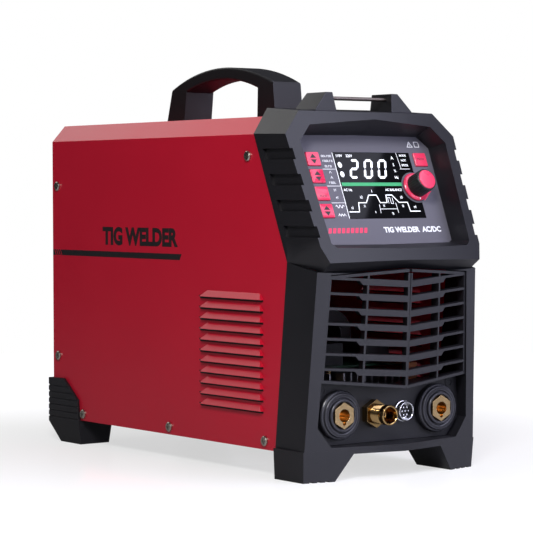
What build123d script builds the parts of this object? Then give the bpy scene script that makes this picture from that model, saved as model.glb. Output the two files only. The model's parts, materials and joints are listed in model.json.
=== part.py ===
"""TIG welding machine: sheet-metal case, moulded front, controls, sockets, fan and power stage.

Frame: +X to the right of someone facing the front, front faces -Y, +Z up.
Origin: on the floor, at the middle of the overall length and width.
"""
from build123d import *
from math import atan, cos, radians, sin, sqrt
import os

os.makedirs("parts", exist_ok=True)

# ---------------------------------------------------------------- overall sizes
LENGTH = 528.0              # lip of the front moulding to the end of the gas inlet
CASE_WIDTH = 208.0          # over the sheet-metal cover
CASE_TOP = 357.0            # top of the cover above the floor
CASE_BOTTOM = 26.5          # lower edge of the cover above the floor
SHEET = 1.2                 # cover and rear panel sheet
TRAY_SHEET = 1.5            # chassis tray sheet
CORNER_X = 16.5             # width of the cover's bent corner
CORNER_Z = 18.0             # height of the cover's bent corner
GAP = 0.3                   # assembly clearance between neighbouring pieces
FRONT = -LENGTH / 2
HALF = CASE_WIDTH / 2
RIDGE_Z = CASE_TOP - CORNER_Z

# ---------------------------------------------------------------- seam between cover and moulding
TILT_RUN = 0.4326           # run of the tilted seam and face per rise
SEAM_FOOT = 85.2            # depth of the seam at the foot, behind the lip tip
KNEE_Z = CASE_TOP - 143.6
COVER_REAR = LENGTH - 19.0
PANEL_INSET = 6.0           # rear panel behind the cover's rear edge

# ---------------------------------------------------------------- front moulding
WALL = 3.0
SIDE_WALL = 6.5             # thick enough for the grip grooves
FACE_SLOPE = 0.4267         # run of the face per rise, along the centre ridge
FACE_VEE = 0.0987           # fall-back of the face per width, each side of the ridge
FACE_RIDGE_Z = KNEE_Z + 1.8
MOULD_OVER = 1.0            # moulding stands proud of the cover at the seam
BEZEL_DEPTH = 56.6
FACE_REF = 62.4             # face depth at the side ridge
FACE_REF_Z = RIDGE_Z - 0.8
SEAM_KNEE = FACE_REF + BEZEL_DEPTH - TILT_RUN * (FACE_REF_Z - KNEE_Z)
LIP_Z = KNEE_Z + 0.4
TOP_FRONT_Z = CASE_TOP + 4.6
TOP_REAR_Z = CASE_TOP + 9.0
GROOVE_COUNT = 4
GROOVE_PITCH = 25.2
GROOVE_HIGH = 11.0
GROOVE_DEEP = 3.2
GROOVE_TOP_Z = RIDGE_Z - 20.2

# lower front
LOW_VEE = 0.206
LOW_TOP_RIDGE = 0.3
LOW_FOOT_RIDGE = 11.1
LOW_TOP_HALF = HALF - 3.0
LOW_FOOT_HALF = HALF + 4.7
FOOT_REAR = 82.0
FOOT_INNER_TOP = 53.0
FOOT_INNER_LOW = 74.8
FOOT_SOLE_HALF = HALF + 4.2
TREAD_COUNT = 3

# lower opening, grille and connector plate
OPEN_TOP_HALF = HALF - 17.0
OPEN_LOW_HALF = HALF - 8.5
OPEN_FOOT_HALF = HALF - 24.0
OPEN_TOP_Z = KNEE_Z - 11.8
OPEN_PEAK_Z = KNEE_Z - 6.4
OPEN_LOW_Z = CASE_BOTTOM + 26.5
OPEN_FOOT_Z = CASE_BOTTOM + 7.0
PLATE_DEPTH = 41.5          # connector plate face behind the lip tip
PLATE_THICK = 3.0
GRILLE_LOW_Z = 96.7         # lower edge of the grille at the sides
SILL_DIP = 8.5              # drop of that edge to the centre
SLAT_DIP = 5.5              # drop of each slat from the sides to the centre
GRILLE_RIM = 2.6
GRILLE_DEEP = 9.0
GRILLE_INSET = 1.5
SLAT_PITCH = 14.7
SLAT_THIN = 2.4
SLAT_THICK = 6.2
RIB = 2.2

# control panel
PANEL_DEPTH = 24.0
PANEL_THICK = 3.0
WINDOW_SIZE = (99.4, 71.8)
WINDOW_X = 13.0
WINDOW_Z = RIDGE_Z - 50.9
BUTTON_SIZE = (16.0, 14.6)
BUTTON_PROUD = 1.4
BUTTON_FIT = 0.25
BUTTON_X = -63.1
BUTTON_Z = RIDGE_Z - 25.0
BUTTON_PITCH = 17.1
MENU_BUTTON_X = 75.8
KNOB_X = 58.5
KNOB_Z = RIDGE_Z - 53.2
KNOB_LONG = 21.0
KNOB_RADIUS = 12.0
CAP_RADIUS = 10.3
SKIRT_RADIUS = 15.0
SHAFT_RADIUS = 3.0
SHAFT_FIT = 0.05
BOARD_GAP = 9.0

# connectors
SOCKET_X = OPEN_LOW_HALF - 33.1
SOCKET_Z = 63.5
FLANGE_RADIUS = 24.5
SOCKET_BORE = 6.6
SOCKET_BORE_LONG = 30.0
HEX_CORNER = 13.2
TORCH_X = -18.0
CONTROL_X = 20.5
HOUSING_HOLE = 17.5         # holes in the connector plate
CONTROL_HOLE = 8.3
TORCH_RADIUS = 10.0
TORCH_BORE = 7.9
TORCH_REACH = 29.0            # tip in front of the connector plate
TORCH_SHANK = 9.4           # behind the threaded end
TORCH_NUT_THICK = 8.0
TORCH_BEHIND = 26.0

# handle and strap bar
HANDLE_WIDE = 36.5
HANDLE_FRONT = 199.8
HANDLE_REAR = 403.0
HANDLE_RISE = 58.8
BOLT_X = 9.0                # handle bolts from the centre plane

# rear
FAN_SIZE = 120.0
FAN_DEEP = 25.0
FAN_Z = 196.0
FAN_HUB = 20.0
SWITCH_X = -58.0
GLAND_X = 58.0
REAR_ROW_Z = CASE_TOP - 50.0
GAS_X = 66.0
GAS_Z = 82.0

SCREW_HEAD = 5.0
SCREW_SHANK = 2.4
SCREW_CROWN = 2.6           # height of a cover screw's head
SCREW_HOLE = 2.7


def back(depth):
    """Y of a point that lies this far behind the lip tip."""
    return FRONT + depth


def through(p, q, r):
    """Plane through three points, its normal by the right-hand rule."""
    p, q, r = Vector(*p), Vector(*q), Vector(*r)
    return Plane(origin=p, x_dir=q - p, z_dir=(q - p).cross(r - p))


def save(name, part):
    """Label a finished piece and write it as a STEP file."""
    part.label = name
    export_step(part, f"parts/{name}.step")


TILT = atan(TILT_RUN)
FACE_NORMAL = (0, -cos(TILT), sin(TILT))


def face_plane(shift=0.0):
    """Plane along the face at the side ridge, moved back by this much."""
    return Plane(origin=(0, back(FACE_REF + shift), FACE_REF_Z), x_dir=(1, 0, 0), z_dir=FACE_NORMAL)


def rise(z):
    """Height z as a distance up the slope from the face plane's origin."""
    return (z - FACE_REF_Z) / cos(TILT)


PANEL = face_plane().offset(-PANEL_DEPTH)


def panel_rise(z):
    """Height z as a distance up the slope of the control panel."""
    return (z - PANEL.origin.Z) / cos(TILT)


# ---------------------------------------------------------------- solids the front moulding is cut from
def bezel_section(shift, side, top):
    """Half outline of the bezel, on a plane parallel to its face."""
    k = shift / BEZEL_DEPTH
    low = HALF - 3.2 + 4.2 * k - side
    ridge = HALF + 4.2 - 3.2 * k - side
    crest = HALF - 18.2 - 6.0 * k - side * 0.5
    low_z = LIP_Z - 18.0
    ridge_z = RIDGE_Z - 0.8 + 1.3 * k - top * 0.4
    top_z = TOP_FRONT_Z + (TOP_REAR_Z - TOP_FRONT_Z) * k - top
    drop = (ridge - low) * 18.0 / (RIDGE_Z - LIP_Z)
    return [(0, rise(low_z)), (-low + drop, rise(low_z)), (-ridge, rise(ridge_z)),
            (-crest, rise(top_z)), (0, rise(top_z))]


def bezel_half(side=0.0, skin=0.0, overrun=0.0):
    """Left half of the upper moulding, shrunk by the given wall thicknesses."""
    with BuildPart() as half:
        for shift in (-14.0, BEZEL_DEPTH + overrun):
            with BuildSketch(face_plane(shift)):
                with BuildLine():
                    Polyline(*bezel_section(shift, side, skin), close=True)
                make_face()
        loft(ruled=True)
        front = through((0, FRONT, FACE_RIDGE_Z), (1, FRONT - FACE_VEE, FACE_RIDGE_Z),
                        (0, FRONT + FACE_SLOPE, FACE_RIDGE_Z + 1))
        split(bisect_by=front.offset(-skin), keep=Keep.BOTTOM)
        corner = through((-HALF - 1, back(SEAM_KNEE), KNEE_Z), (8.5 - HALF, back(8.2), LIP_Z),
                         (2.3 - HALF, back(15.2), LIP_Z + 15.3))
        split(bisect_by=corner.offset(-side), keep=Keep.BOTTOM)
        under = through((0, FRONT, FACE_RIDGE_Z), (8.5 - HALF, back(8.2), LIP_Z),
                        (2.6 - HALF, back(21.6), LIP_Z - 9.5))
        split(bisect_by=under.offset(-skin), keep=Keep.BOTTOM)
    return half.part


def lower_half(side=0.0, skin=0.0, overrun=0.0):
    """Left half of the lower moulding, from the cross-member up to the bezel."""
    with BuildPart() as half:
        for z, seam, ridge, wide in ((CASE_BOTTOM + skin, SEAM_FOOT, LOW_FOOT_RIDGE, LOW_FOOT_HALF),
                                     (KNEE_Z, SEAM_KNEE, LOW_TOP_RIDGE, LOW_TOP_HALF)):
            nose = ridge + skin
            wide = wide - side
            with BuildSketch(Plane.XY.offset(z)):
                with BuildLine():
                    Polyline((0, back(seam + overrun)), (side - HALF - MOULD_OVER, back(seam + overrun)),
                             (-wide, back(nose + LOW_VEE * wide)), (0, back(nose)), close=True)
                make_face()
        loft(ruled=True)
        shoulder = through((0, back(21.6), LIP_Z - 9.5), (0, back(SEAM_KNEE), KNEE_Z),
                           (-1, back(SEAM_KNEE), KNEE_Z))
        split(bisect_by=shoulder.offset(-0.01), keep=Keep.BOTTOM)
    return half.part


def mirrored(outline, plane):
    """Right half of an outline, in X and Z, as a closed loop in a tilted plane."""
    points = [(x, (z - plane.origin.Z) / cos(TILT)) for x, z in outline]
    return points + [(-x, y) for x, y in reversed(points[1:-1])]


def panel_outline(grow):
    """Right half of the control panel's outline, in X and Z."""
    return [(0, CASE_TOP - 18.5 + grow), (79.0 + grow, CASE_TOP - 19.2 + grow),
            (91.5 + grow, RIDGE_Z - 13.0), (88.0 + grow, LIP_Z + 19.0),
            (84.0 + grow, LIP_Z + 16.4 - grow), (0, LIP_Z + 15.6 - grow)]


def pocket(grow=0.0):
    """Control recess: from the V-shaped face back to the flat control panel."""
    front = [(0, CASE_TOP - 6.8 + grow), (77.5 + grow, CASE_TOP - 10.2 + grow),
             (93.5 + grow, RIDGE_Z - 7.8), (88.5 + grow, LIP_Z + 18.2),
             (83.0 + grow, LIP_Z + 13.7 - grow), (0, LIP_Z + 8.9 - grow)]
    outlines = (front, panel_outline(grow))
    planes = (face_plane(), PANEL)
    with BuildPart() as recess:
        for plane, outline in zip(planes, outlines):
            with BuildSketch(plane):
                with BuildLine():
                    Polyline(*mirrored(outline, plane), close=True)
                make_face()
        loft(ruled=True)
        with BuildSketch(planes[0]):
            with BuildLine():
                Polyline(*mirrored(front, planes[0]), close=True)
            make_face()
        extrude(amount=22)
    return recess.part


def lower_outline(grow, peak=True):
    """Outline of the lower opening in X and Z."""
    crown = [(0, OPEN_PEAK_Z + grow)] if peak else []
    return crown + [(OPEN_TOP_HALF + grow, OPEN_TOP_Z + grow), (OPEN_LOW_HALF + grow, OPEN_LOW_Z),
                    (OPEN_FOOT_HALF + grow, OPEN_FOOT_Z - grow)]


def lower_opening(grow, start, stop):
    """Prism of the lower opening between two depths."""
    right = lower_outline(grow)
    points = right + [(-x, z) for x, z in reversed(right[1:])]
    with BuildPart() as prism:
        with BuildSketch(Plane.XZ.offset(-back(stop))):
            with BuildLine():
                Polyline(*points, close=True)
            make_face()
        extrude(amount=stop - start)
    return prism.part


UPPER = bezel_half()
UPPER_VOID = bezel_half(SIDE_WALL, WALL, 12.0)
UPPER_GRIP = bezel_half(GROOVE_DEEP)
LOWER = lower_half()
LOWER_VOID = lower_half(WALL, WALL, 12.0)
POCKET = pocket()
POCKET_WALL = pocket(2.5)
RIM = lower_opening(WALL, -6, PLATE_DEPTH + PLATE_THICK)
OPENING = lower_opening(0, -12, PLATE_DEPTH + PLATE_THICK + 2)

with BuildPart() as groove_bands:
    with BuildSketch(face_plane(BEZEL_DEPTH - 9.0)):
        for index in range(GROOVE_COUNT):
            with Locations((-HALF, rise(GROOVE_TOP_Z - index * GROOVE_PITCH))):
                Rectangle(24, GROOVE_HIGH / cos(TILT))
    extrude(amount=75, dir=(0, -1, 0))
    add(UPPER_GRIP, mode=Mode.SUBTRACT)
GROOVES = groove_bands.part

with BuildPart() as cavity:
    add(UPPER_VOID)
    add(LOWER_VOID)
    mirror(about=Plane.YZ)
    add(POCKET_WALL, mode=Mode.SUBTRACT)
    add(RIM, mode=Mode.SUBTRACT)
CAVITY = cavity.part


# ---------------------------------------------------------------- front moulding with its two feet
with BuildPart() as front_bezel:
    add(UPPER)
    add(GROOVES, mode=Mode.SUBTRACT)
    add(LOWER)
    for z_low, half_wide, inner in ((CASE_BOTTOM + 4.0, HALF + 5.5, FOOT_INNER_TOP),
                                    (0.0, FOOT_SOLE_HALF, FOOT_INNER_LOW)):
        nose = LOW_FOOT_RIDGE + 2.0 * (1 - z_low / CASE_BOTTOM)
        outer_nose = nose + LOW_VEE * half_wide
        with BuildSketch(Plane.XY.offset(z_low)):
            with BuildLine():
                Polyline((-inner, back(FOOT_REAR)), (-half_wide, back(FOOT_REAR)),
                         (-half_wide, back(outer_nose)), (-inner, back(nose + LOW_VEE * inner)),
                         close=True)
            make_face()
    loft(ruled=True)
    mirror(about=Plane.YZ)
    add(CAVITY, mode=Mode.SUBTRACT)
    add(POCKET, mode=Mode.SUBTRACT)
    add(OPENING, mode=Mode.SUBTRACT)
    tread_step = (FOOT_SOLE_HALF - FOOT_INNER_LOW) / (TREAD_COUNT + 1)
    for side in (-1, 1):
        for index in range(TREAD_COUNT):
            with BuildSketch(Plane.XZ.offset(-back(FOOT_REAR + 5))):
                with Locations((side * (FOOT_INNER_LOW + tread_step * (index + 1)), 0)):
                    Rectangle(4.0, 3.0)
            extrude(amount=FOOT_REAR, mode=Mode.SUBTRACT)
save("front_bezel", front_bezel.part)


# ---------------------------------------------------------------- grille: V-shaped slats in a rim
def low_plane(inward):
    """Plane of the left half of the lower face, moved inward; local X runs to the ridge."""
    lean = (LOW_TOP_RIDGE - LOW_FOOT_RIDGE) / (KNEE_Z - CASE_BOTTOM)
    across = Vector(1, -LOW_VEE, 0)
    origin = (0, back(LOW_FOOT_RIDGE), CASE_BOTTOM)
    return Plane(origin=origin, x_dir=across, z_dir=across.cross(Vector(0, lean, 1))).offset(-inward)


def low_rise(z):
    """Height z as a distance up the lower face."""
    lean = (LOW_TOP_RIDGE - LOW_FOOT_RIDGE) / (KNEE_Z - CASE_BOTTOM)
    return (z - CASE_BOTTOM) * sqrt(1 + lean * lean)


STRETCH = sqrt(1 + LOW_VEE * LOW_VEE)
GRILLE_TOP_HALF = (OPEN_TOP_HALF - 1.2) * STRETCH
GRILLE_LOW_HALF = (OPEN_TOP_HALF - 1.2 + (OPEN_LOW_HALF - OPEN_TOP_HALF)
                   * (OPEN_TOP_Z - GRILLE_LOW_Z) / (OPEN_TOP_Z - OPEN_LOW_Z)) * STRETCH
SLAT_TOP_Z = OPEN_TOP_Z - 1.9
SLAT_COUNT = int((SLAT_TOP_Z - GRILLE_LOW_Z - SLAT_THIN) / SLAT_PITCH) + 1


def grille_edge(z):
    """Half width of the grille at a height, along its face."""
    k = (OPEN_TOP_Z - z) / (OPEN_TOP_Z - GRILLE_LOW_Z)
    return GRILLE_TOP_HALF + (GRILLE_LOW_HALF - GRILLE_TOP_HALF) * k


def grille_sill(x):
    """Lower edge of the grille at a distance from the centre, along its face."""
    return low_rise(GRILLE_LOW_Z - SILL_DIP * (1 - abs(x) / GRILLE_LOW_HALF))


SILL_HALF = GRILLE_LOW_HALF / STRETCH
SILL_SIDE = LOW_FOOT_RIDGE + LOW_VEE * GRILLE_LOW_HALF
with BuildPart() as sill:
    with BuildSketch(Plane.XY.offset(GRILLE_LOW_Z - SILL_DIP)):
        with BuildLine():
            Polyline((-SILL_HALF, back(PLATE_DEPTH)), (SILL_HALF, back(PLATE_DEPTH)),
                     (SILL_HALF, back(SILL_SIDE)), (0, back(LOW_FOOT_RIDGE)),
                     (-SILL_HALF, back(SILL_SIDE)), close=True)
        make_face()
    extrude(amount=SILL_DIP + GRILLE_RIM)
    with BuildSketch(Plane.XZ.offset(-back(PLATE_DEPTH))):
        with BuildLine():
            Polyline((-SILL_HALF, GRILLE_LOW_Z), (0, GRILLE_LOW_Z - SILL_DIP), (SILL_HALF, GRILLE_LOW_Z),
                     (SILL_HALF, GRILLE_LOW_Z + GRILLE_RIM), (0, GRILLE_LOW_Z - SILL_DIP + GRILLE_RIM),
                     (-SILL_HALF, GRILLE_LOW_Z + GRILLE_RIM), close=True)
        make_face()
    extrude(amount=PLATE_DEPTH, mode=Mode.INTERSECT)
SILL = sill.part

with BuildPart() as front_grille:
    rim = [(0, low_rise(OPEN_PEAK_Z - 1.2)), (-GRILLE_TOP_HALF, low_rise(OPEN_TOP_Z - 1.2)),
           (-GRILLE_LOW_HALF, grille_sill(GRILLE_LOW_HALF)), (0, grille_sill(0))]
    with BuildSketch(low_plane(GRILLE_INSET)):
        with BuildLine():
            Polyline(*rim, close=True)
        make_face()
        with BuildLine(mode=Mode.PRIVATE) as window:
            Polyline((GRILLE_RIM, rim[0][1] - GRILLE_RIM),
                     (GRILLE_RIM - GRILLE_TOP_HALF, rim[1][1] - GRILLE_RIM),
                     (GRILLE_RIM - GRILLE_LOW_HALF, rim[2][1] + GRILLE_RIM),
                     (GRILLE_RIM, rim[3][1] + GRILLE_RIM),
                     close=True)
        add(make_face(window.edges(), mode=Mode.PRIVATE), mode=Mode.SUBTRACT)
        for index in range(SLAT_COUNT):
            z = SLAT_TOP_Z - index * SLAT_PITCH
            edge = grille_edge(z)
            high = low_rise(z)
            with BuildLine():
                Polyline((0.5 - edge, high), (0.5 - edge, high - SLAT_THIN),
                         (-0.62 * edge, high - SLAT_THIN - 0.38 * SLAT_DIP),
                         (-0.58 * edge, high - SLAT_THICK - 0.42 * SLAT_DIP),
                         (0, high - SLAT_THICK - SLAT_DIP), (0, high - SLAT_DIP), close=True)
            make_face()
        for x in (-0.51 * GRILLE_TOP_HALF, 0):
            foot = grille_sill(x) + 1
            with BuildLine():
                Polyline((x - RIB / 2, rim[0][1] - 4), (x * 1.08 - RIB / 2, foot),
                         (x * 1.08 + RIB / 2, foot), (x + RIB / 2, rim[0][1] - 4), close=True)
            make_face()
    extrude(amount=-GRILLE_DEEP)
    split(bisect_by=Plane.YZ, keep=Keep.BOTTOM)
    mirror(about=Plane.YZ)
    add(SILL)
    add(lower_opening(-GAP, -12, PLATE_DEPTH), mode=Mode.INTERSECT)
save("front_grille", front_grille.part)

# ---------------------------------------------------------------- flat plate that carries the connectors
PLATE_TOP = GRILLE_LOW_Z - GAP
with BuildPart() as connector_plate:
    with BuildSketch(Plane.XZ.offset(-back(PLATE_DEPTH))):
        with BuildLine():
            down = (OPEN_TOP_Z - PLATE_TOP) / (OPEN_TOP_Z - OPEN_LOW_Z)
            reach = OPEN_TOP_HALF + (OPEN_LOW_HALF - OPEN_TOP_HALF) * down
            outline = [(reach - GAP, PLATE_TOP), (OPEN_LOW_HALF - GAP, OPEN_LOW_Z),
                       (OPEN_FOOT_HALF - GAP, OPEN_FOOT_Z + GAP)]
            Polyline((0, PLATE_TOP - SILL_DIP), *outline, *[(-x, z) for x, z in reversed(outline)], close=True)
        make_face()
        with Locations((-SOCKET_X, SOCKET_Z), (SOCKET_X, SOCKET_Z)):
            Circle(HOUSING_HOLE, mode=Mode.SUBTRACT)
        with Locations((TORCH_X, SOCKET_Z - 1)):
            Circle(TORCH_SHANK + GAP, mode=Mode.SUBTRACT)
        with Locations((CONTROL_X, SOCKET_Z - 1)):
            Circle(CONTROL_HOLE, mode=Mode.SUBTRACT)
    extrude(amount=-PLATE_THICK)
save("connector_plate", connector_plate.part)

# ---------------------------------------------------------------- output sockets
PLATE_FACE = Plane.XZ.offset(-back(PLATE_DEPTH))
for name, x in (("positive_socket", -SOCKET_X), ("negative_socket", SOCKET_X)):
    with BuildPart() as socket_housing:
        with BuildSketch(PLATE_FACE):
            with Locations((x, SOCKET_Z)):
                Circle(FLANGE_RADIUS)
        extrude(amount=7.0)
        with BuildSketch(PLATE_FACE.offset(7.0)):
            with Locations((x, SOCKET_Z)):
                Circle(FLANGE_RADIUS - 2.6)
        extrude(amount=3.0)
        chamfer(socket_housing.edges().filter_by(GeomType.CIRCLE).sort_by(Axis.Y)[0], 0.8)
        with BuildSketch(PLATE_FACE.offset(10.0)):
            with Locations((x, SOCKET_Z)):
                Circle(FLANGE_RADIUS - 7.5)
        extrude(amount=-2.0, mode=Mode.SUBTRACT)
        with BuildSketch(PLATE_FACE.offset(8.0)):
            with Locations((x, SOCKET_Z)):
                Circle(FLANGE_RADIUS - 8.8)
        extrude(amount=4.0)
        with BuildSketch(PLATE_FACE):
            with Locations((x, SOCKET_Z)):
                Circle(17.0)
        extrude(amount=-26.0)
        with BuildSketch(PLATE_FACE.offset(12.0)):
            with Locations((x, SOCKET_Z)):
                RegularPolygon(HEX_CORNER + GAP, 6, rotation=30)
        extrude(amount=-5.0, mode=Mode.SUBTRACT)
        with BuildSketch(PLATE_FACE.offset(12.0)):
            with Locations((x, SOCKET_Z)):
                Circle(11.0)
        extrude(amount=-38.0, mode=Mode.SUBTRACT)
    save(f"{name}_housing", socket_housing.part)
    with BuildPart() as socket_insert:
        with BuildSketch(PLATE_FACE.offset(12.6)):
            with Locations((x, SOCKET_Z)):
                RegularPolygon(HEX_CORNER, 6, rotation=30)
        extrude(amount=-5.3)
        with BuildSketch(PLATE_FACE.offset(7.6)):
            with Locations((x, SOCKET_Z)):
                Circle(10.9)
        extrude(amount=-38.0)
        with BuildSketch(PLATE_FACE.offset(-30.0)):
            with Locations((x, SOCKET_Z)):
                Circle(6.0)
        extrude(amount=-18.0)
        with BuildSketch(PLATE_FACE.offset(12.6)):
            with Locations((x, SOCKET_Z)):
                Circle(SOCKET_BORE)
        extrude(amount=-SOCKET_BORE_LONG, mode=Mode.SUBTRACT)
        with BuildSketch(PLATE_FACE.offset(12.6)):
            with Locations((x, SOCKET_Z - SOCKET_BORE)):
                SlotCenterToCenter(2.0, 4.0, rotation=90)
        extrude(amount=-9.0, mode=Mode.SUBTRACT)
    save(f"{name}_insert", socket_insert.part)

with BuildPart() as socket_nuts:
    with BuildSketch(PLATE_FACE.offset(-PLATE_THICK - 0.1)):
        with Locations((-SOCKET_X, SOCKET_Z), (SOCKET_X, SOCKET_Z)):
            RegularPolygon(23.0, 6)
            Circle(17.1, mode=Mode.SUBTRACT)
    extrude(amount=-6.0)
save("socket_nuts", socket_nuts.part)

# ---------------------------------------------------------------- torch gas and current connector
with BuildPart() as torch_connector:
    with BuildSketch(PLATE_FACE.offset(TORCH_REACH)):
        with Locations((TORCH_X, SOCKET_Z - 1)):
            Circle(TORCH_RADIUS)
    extrude(amount=TORCH_NUT_THICK + 0.3 - TORCH_REACH)
    with BuildSketch(PLATE_FACE.offset(TORCH_NUT_THICK + 0.3)):
        with Locations((TORCH_X, SOCKET_Z - 1)):
            Circle(TORCH_SHANK)
    extrude(amount=-TORCH_NUT_THICK - 0.3 - TORCH_BEHIND)
    with BuildSketch(PLATE_FACE.offset(TORCH_REACH)):
        with Locations((TORCH_X, SOCKET_Z - 1)):
            Circle(TORCH_BORE)
    extrude(amount=-TORCH_BEHIND, mode=Mode.SUBTRACT)
    with BuildSketch(PLATE_FACE.offset(TORCH_REACH - TORCH_BEHIND)):
        with Locations((TORCH_X, SOCKET_Z - 1)):
            Circle(3.4)
            Circle(1.8, mode=Mode.SUBTRACT)
    extrude(amount=TORCH_BEHIND - 10.0)
    chamfer(torch_connector.edges().filter_by(GeomType.CIRCLE).group_by(Axis.Y)[0], 0.5)
save("torch_connector", torch_connector.part)

with BuildPart() as torch_nut:
    with BuildSketch(PLATE_FACE.offset(0.1)):
        with Locations((TORCH_X, SOCKET_Z - 1)):
            RegularPolygon(14.2, 6, rotation=30)
            Circle(TORCH_SHANK + 0.1, mode=Mode.SUBTRACT)
    extrude(amount=TORCH_NUT_THICK)
save("torch_nut", torch_nut.part)

# ---------------------------------------------------------------- multi-pin torch control socket
with BuildPart() as control_socket_shell:
    with BuildSketch(PLATE_FACE.offset(0.1)):
        with Locations((CONTROL_X, SOCKET_Z - 1)):
            Circle(11.0)
    extrude(amount=2.4)
    with BuildSketch(PLATE_FACE.offset(2.5)):
        with Locations((CONTROL_X, SOCKET_Z - 1)):
            Circle(9.6)
    extrude(amount=5.5)
    with BuildSketch(PLATE_FACE.offset(0.1)):
        with Locations((CONTROL_X, SOCKET_Z - 1)):
            Circle(8.0)
    extrude(amount=-14.0)
    with BuildSketch(PLATE_FACE.offset(8.0)):
        with Locations((CONTROL_X, SOCKET_Z - 1)):
            Circle(8.0)
    extrude(amount=-7.6, mode=Mode.SUBTRACT)
    with BuildSketch(PLATE_FACE.offset(0.4)):
        with Locations((CONTROL_X, SOCKET_Z - 1)):
            Circle(6.8)
    extrude(amount=-16.0, mode=Mode.SUBTRACT)
save("control_socket_shell", control_socket_shell.part)

with BuildPart() as control_socket_insert:
    with BuildSketch(PLATE_FACE.offset(2.4)):
        with Locations((CONTROL_X, SOCKET_Z - 1)):
            Circle(6.7)
            with PolarLocations(4.2, 6):
                Circle(0.85, mode=Mode.SUBTRACT)
            Circle(0.85, mode=Mode.SUBTRACT)
    extrude(amount=-14.0)
save("control_socket_insert", control_socket_insert.part)

with BuildPart() as control_socket_pins:
    with BuildSketch(PLATE_FACE.offset(6.0)):
        with Locations((CONTROL_X, SOCKET_Z - 1)):
            with PolarLocations(4.2, 6):
                Circle(0.8)
            Circle(0.8)
    extrude(amount=-22.0)
save("control_socket_pins", control_socket_pins.part)

# ---------------------------------------------------------------- control panel behind the recess
KNOB_SPOT = (KNOB_X, panel_rise(KNOB_Z))
WINDOW_SPOT = (WINDOW_X, panel_rise(WINDOW_Z))
BUTTONS = {"process_button": (BUTTON_X, BUTTON_Z), "trigger_button": (BUTTON_X, BUTTON_Z - BUTTON_PITCH),
           "pulse_button": (BUTTON_X, BUTTON_Z - 2 * BUTTON_PITCH),
           "wave_button": (BUTTON_X, BUTTON_Z - 3 * BUTTON_PITCH),
           "menu_button": (MENU_BUTTON_X, BUTTON_Z)}
BUTTON_SPOTS = [(x, panel_rise(z)) for x, z in BUTTONS.values()]
KNOB_CLEAR = SKIRT_RADIUS + 2.0


def window_shape(grow):
    """Face of the display window, with the bite that clears the knob."""
    with BuildSketch(mode=Mode.PRIVATE) as shape:
        with Locations(WINDOW_SPOT):
            Rectangle(WINDOW_SIZE[0] + 2 * grow, WINDOW_SIZE[1] + 2 * grow)
        with Locations(KNOB_SPOT):
            Circle(KNOB_CLEAR - grow, mode=Mode.SUBTRACT)
    return shape.sketch


WINDOW_HOLE = window_shape(BUTTON_FIT)
WINDOW_FACE = window_shape(0.0)
with BuildPart() as control_panel:
    with BuildSketch(PANEL):
        with BuildLine():
            Polyline(*mirrored(panel_outline(4.5), PANEL), close=True)
        make_face()
        add(WINDOW_HOLE, mode=Mode.SUBTRACT)
        with Locations(*BUTTON_SPOTS):
            Rectangle(BUTTON_SIZE[0] + 2 * BUTTON_FIT, BUTTON_SIZE[1] + 2 * BUTTON_FIT, mode=Mode.SUBTRACT)
        with Locations(KNOB_SPOT):
            Circle(4.8, mode=Mode.SUBTRACT)
    extrude(amount=-PANEL_THICK)
save("control_panel", control_panel.part)

with BuildPart() as display_window:
    with BuildSketch(PANEL.offset(0.4)):
        add(WINDOW_FACE)
    extrude(amount=-PANEL_THICK)
save("display_window", display_window.part)

with BuildPart() as display_module:
    with BuildSketch(PANEL.offset(-PANEL_THICK - 0.1)):
        with Locations(WINDOW_SPOT):
            Rectangle(WINDOW_SIZE[0] - 2, WINDOW_SIZE[1] + 2)
        with Locations(KNOB_SPOT):
            Circle(KNOB_CLEAR - 2, mode=Mode.SUBTRACT)
    extrude(amount=-4.6)
save("display_module", display_module.part)

for name, spot in zip(BUTTONS, BUTTON_SPOTS):
    with BuildPart() as button:
        with BuildSketch(PANEL.offset(BUTTON_PROUD)):
            with Locations(spot):
                RectangleRounded(*BUTTON_SIZE, 1.2)
        extrude(amount=-BUTTON_PROUD - PANEL_THICK - 0.6)
        chamfer(button.faces().sort_by(Axis(PANEL.origin, PANEL.z_dir))[-1].edges(), 0.4)
        with BuildSketch(PANEL.offset(-PANEL_THICK - 0.2)):
            with Locations(spot):
                Rectangle(BUTTON_SIZE[0] + 2.4, BUTTON_SIZE[1] + 1.6)
        extrude(amount=-1.0)
        with BuildSketch(PANEL.offset(-PANEL_THICK - 1.2)):
            with Locations(spot):
                Circle(2.0)
        extrude(amount=-2.2)
    save(name, button.part)

BOARD_TOP = -PANEL_THICK - BOARD_GAP
BOARD_POSTS = [(x, panel_rise(z)) for x in (-80, 80) for z in (LIP_Z + 22.0, CASE_TOP - 25.0)]
with BuildPart() as control_board:
    with BuildSketch(PANEL.offset(BOARD_TOP)):
        with Locations((0, panel_rise((LIP_Z + CASE_TOP) / 2 - 2))):
            RectangleRounded(170, 128, 3)
        with Locations(*BOARD_POSTS):
            Circle(1.6, mode=Mode.SUBTRACT)
    extrude(amount=-1.6)
    with BuildSketch(PANEL.offset(BOARD_TOP)):
        with Locations(*BUTTON_SPOTS):
            Rectangle(6, 6)
    extrude(amount=BOARD_GAP - 4.4)
save("control_board", control_board.part)


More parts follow.
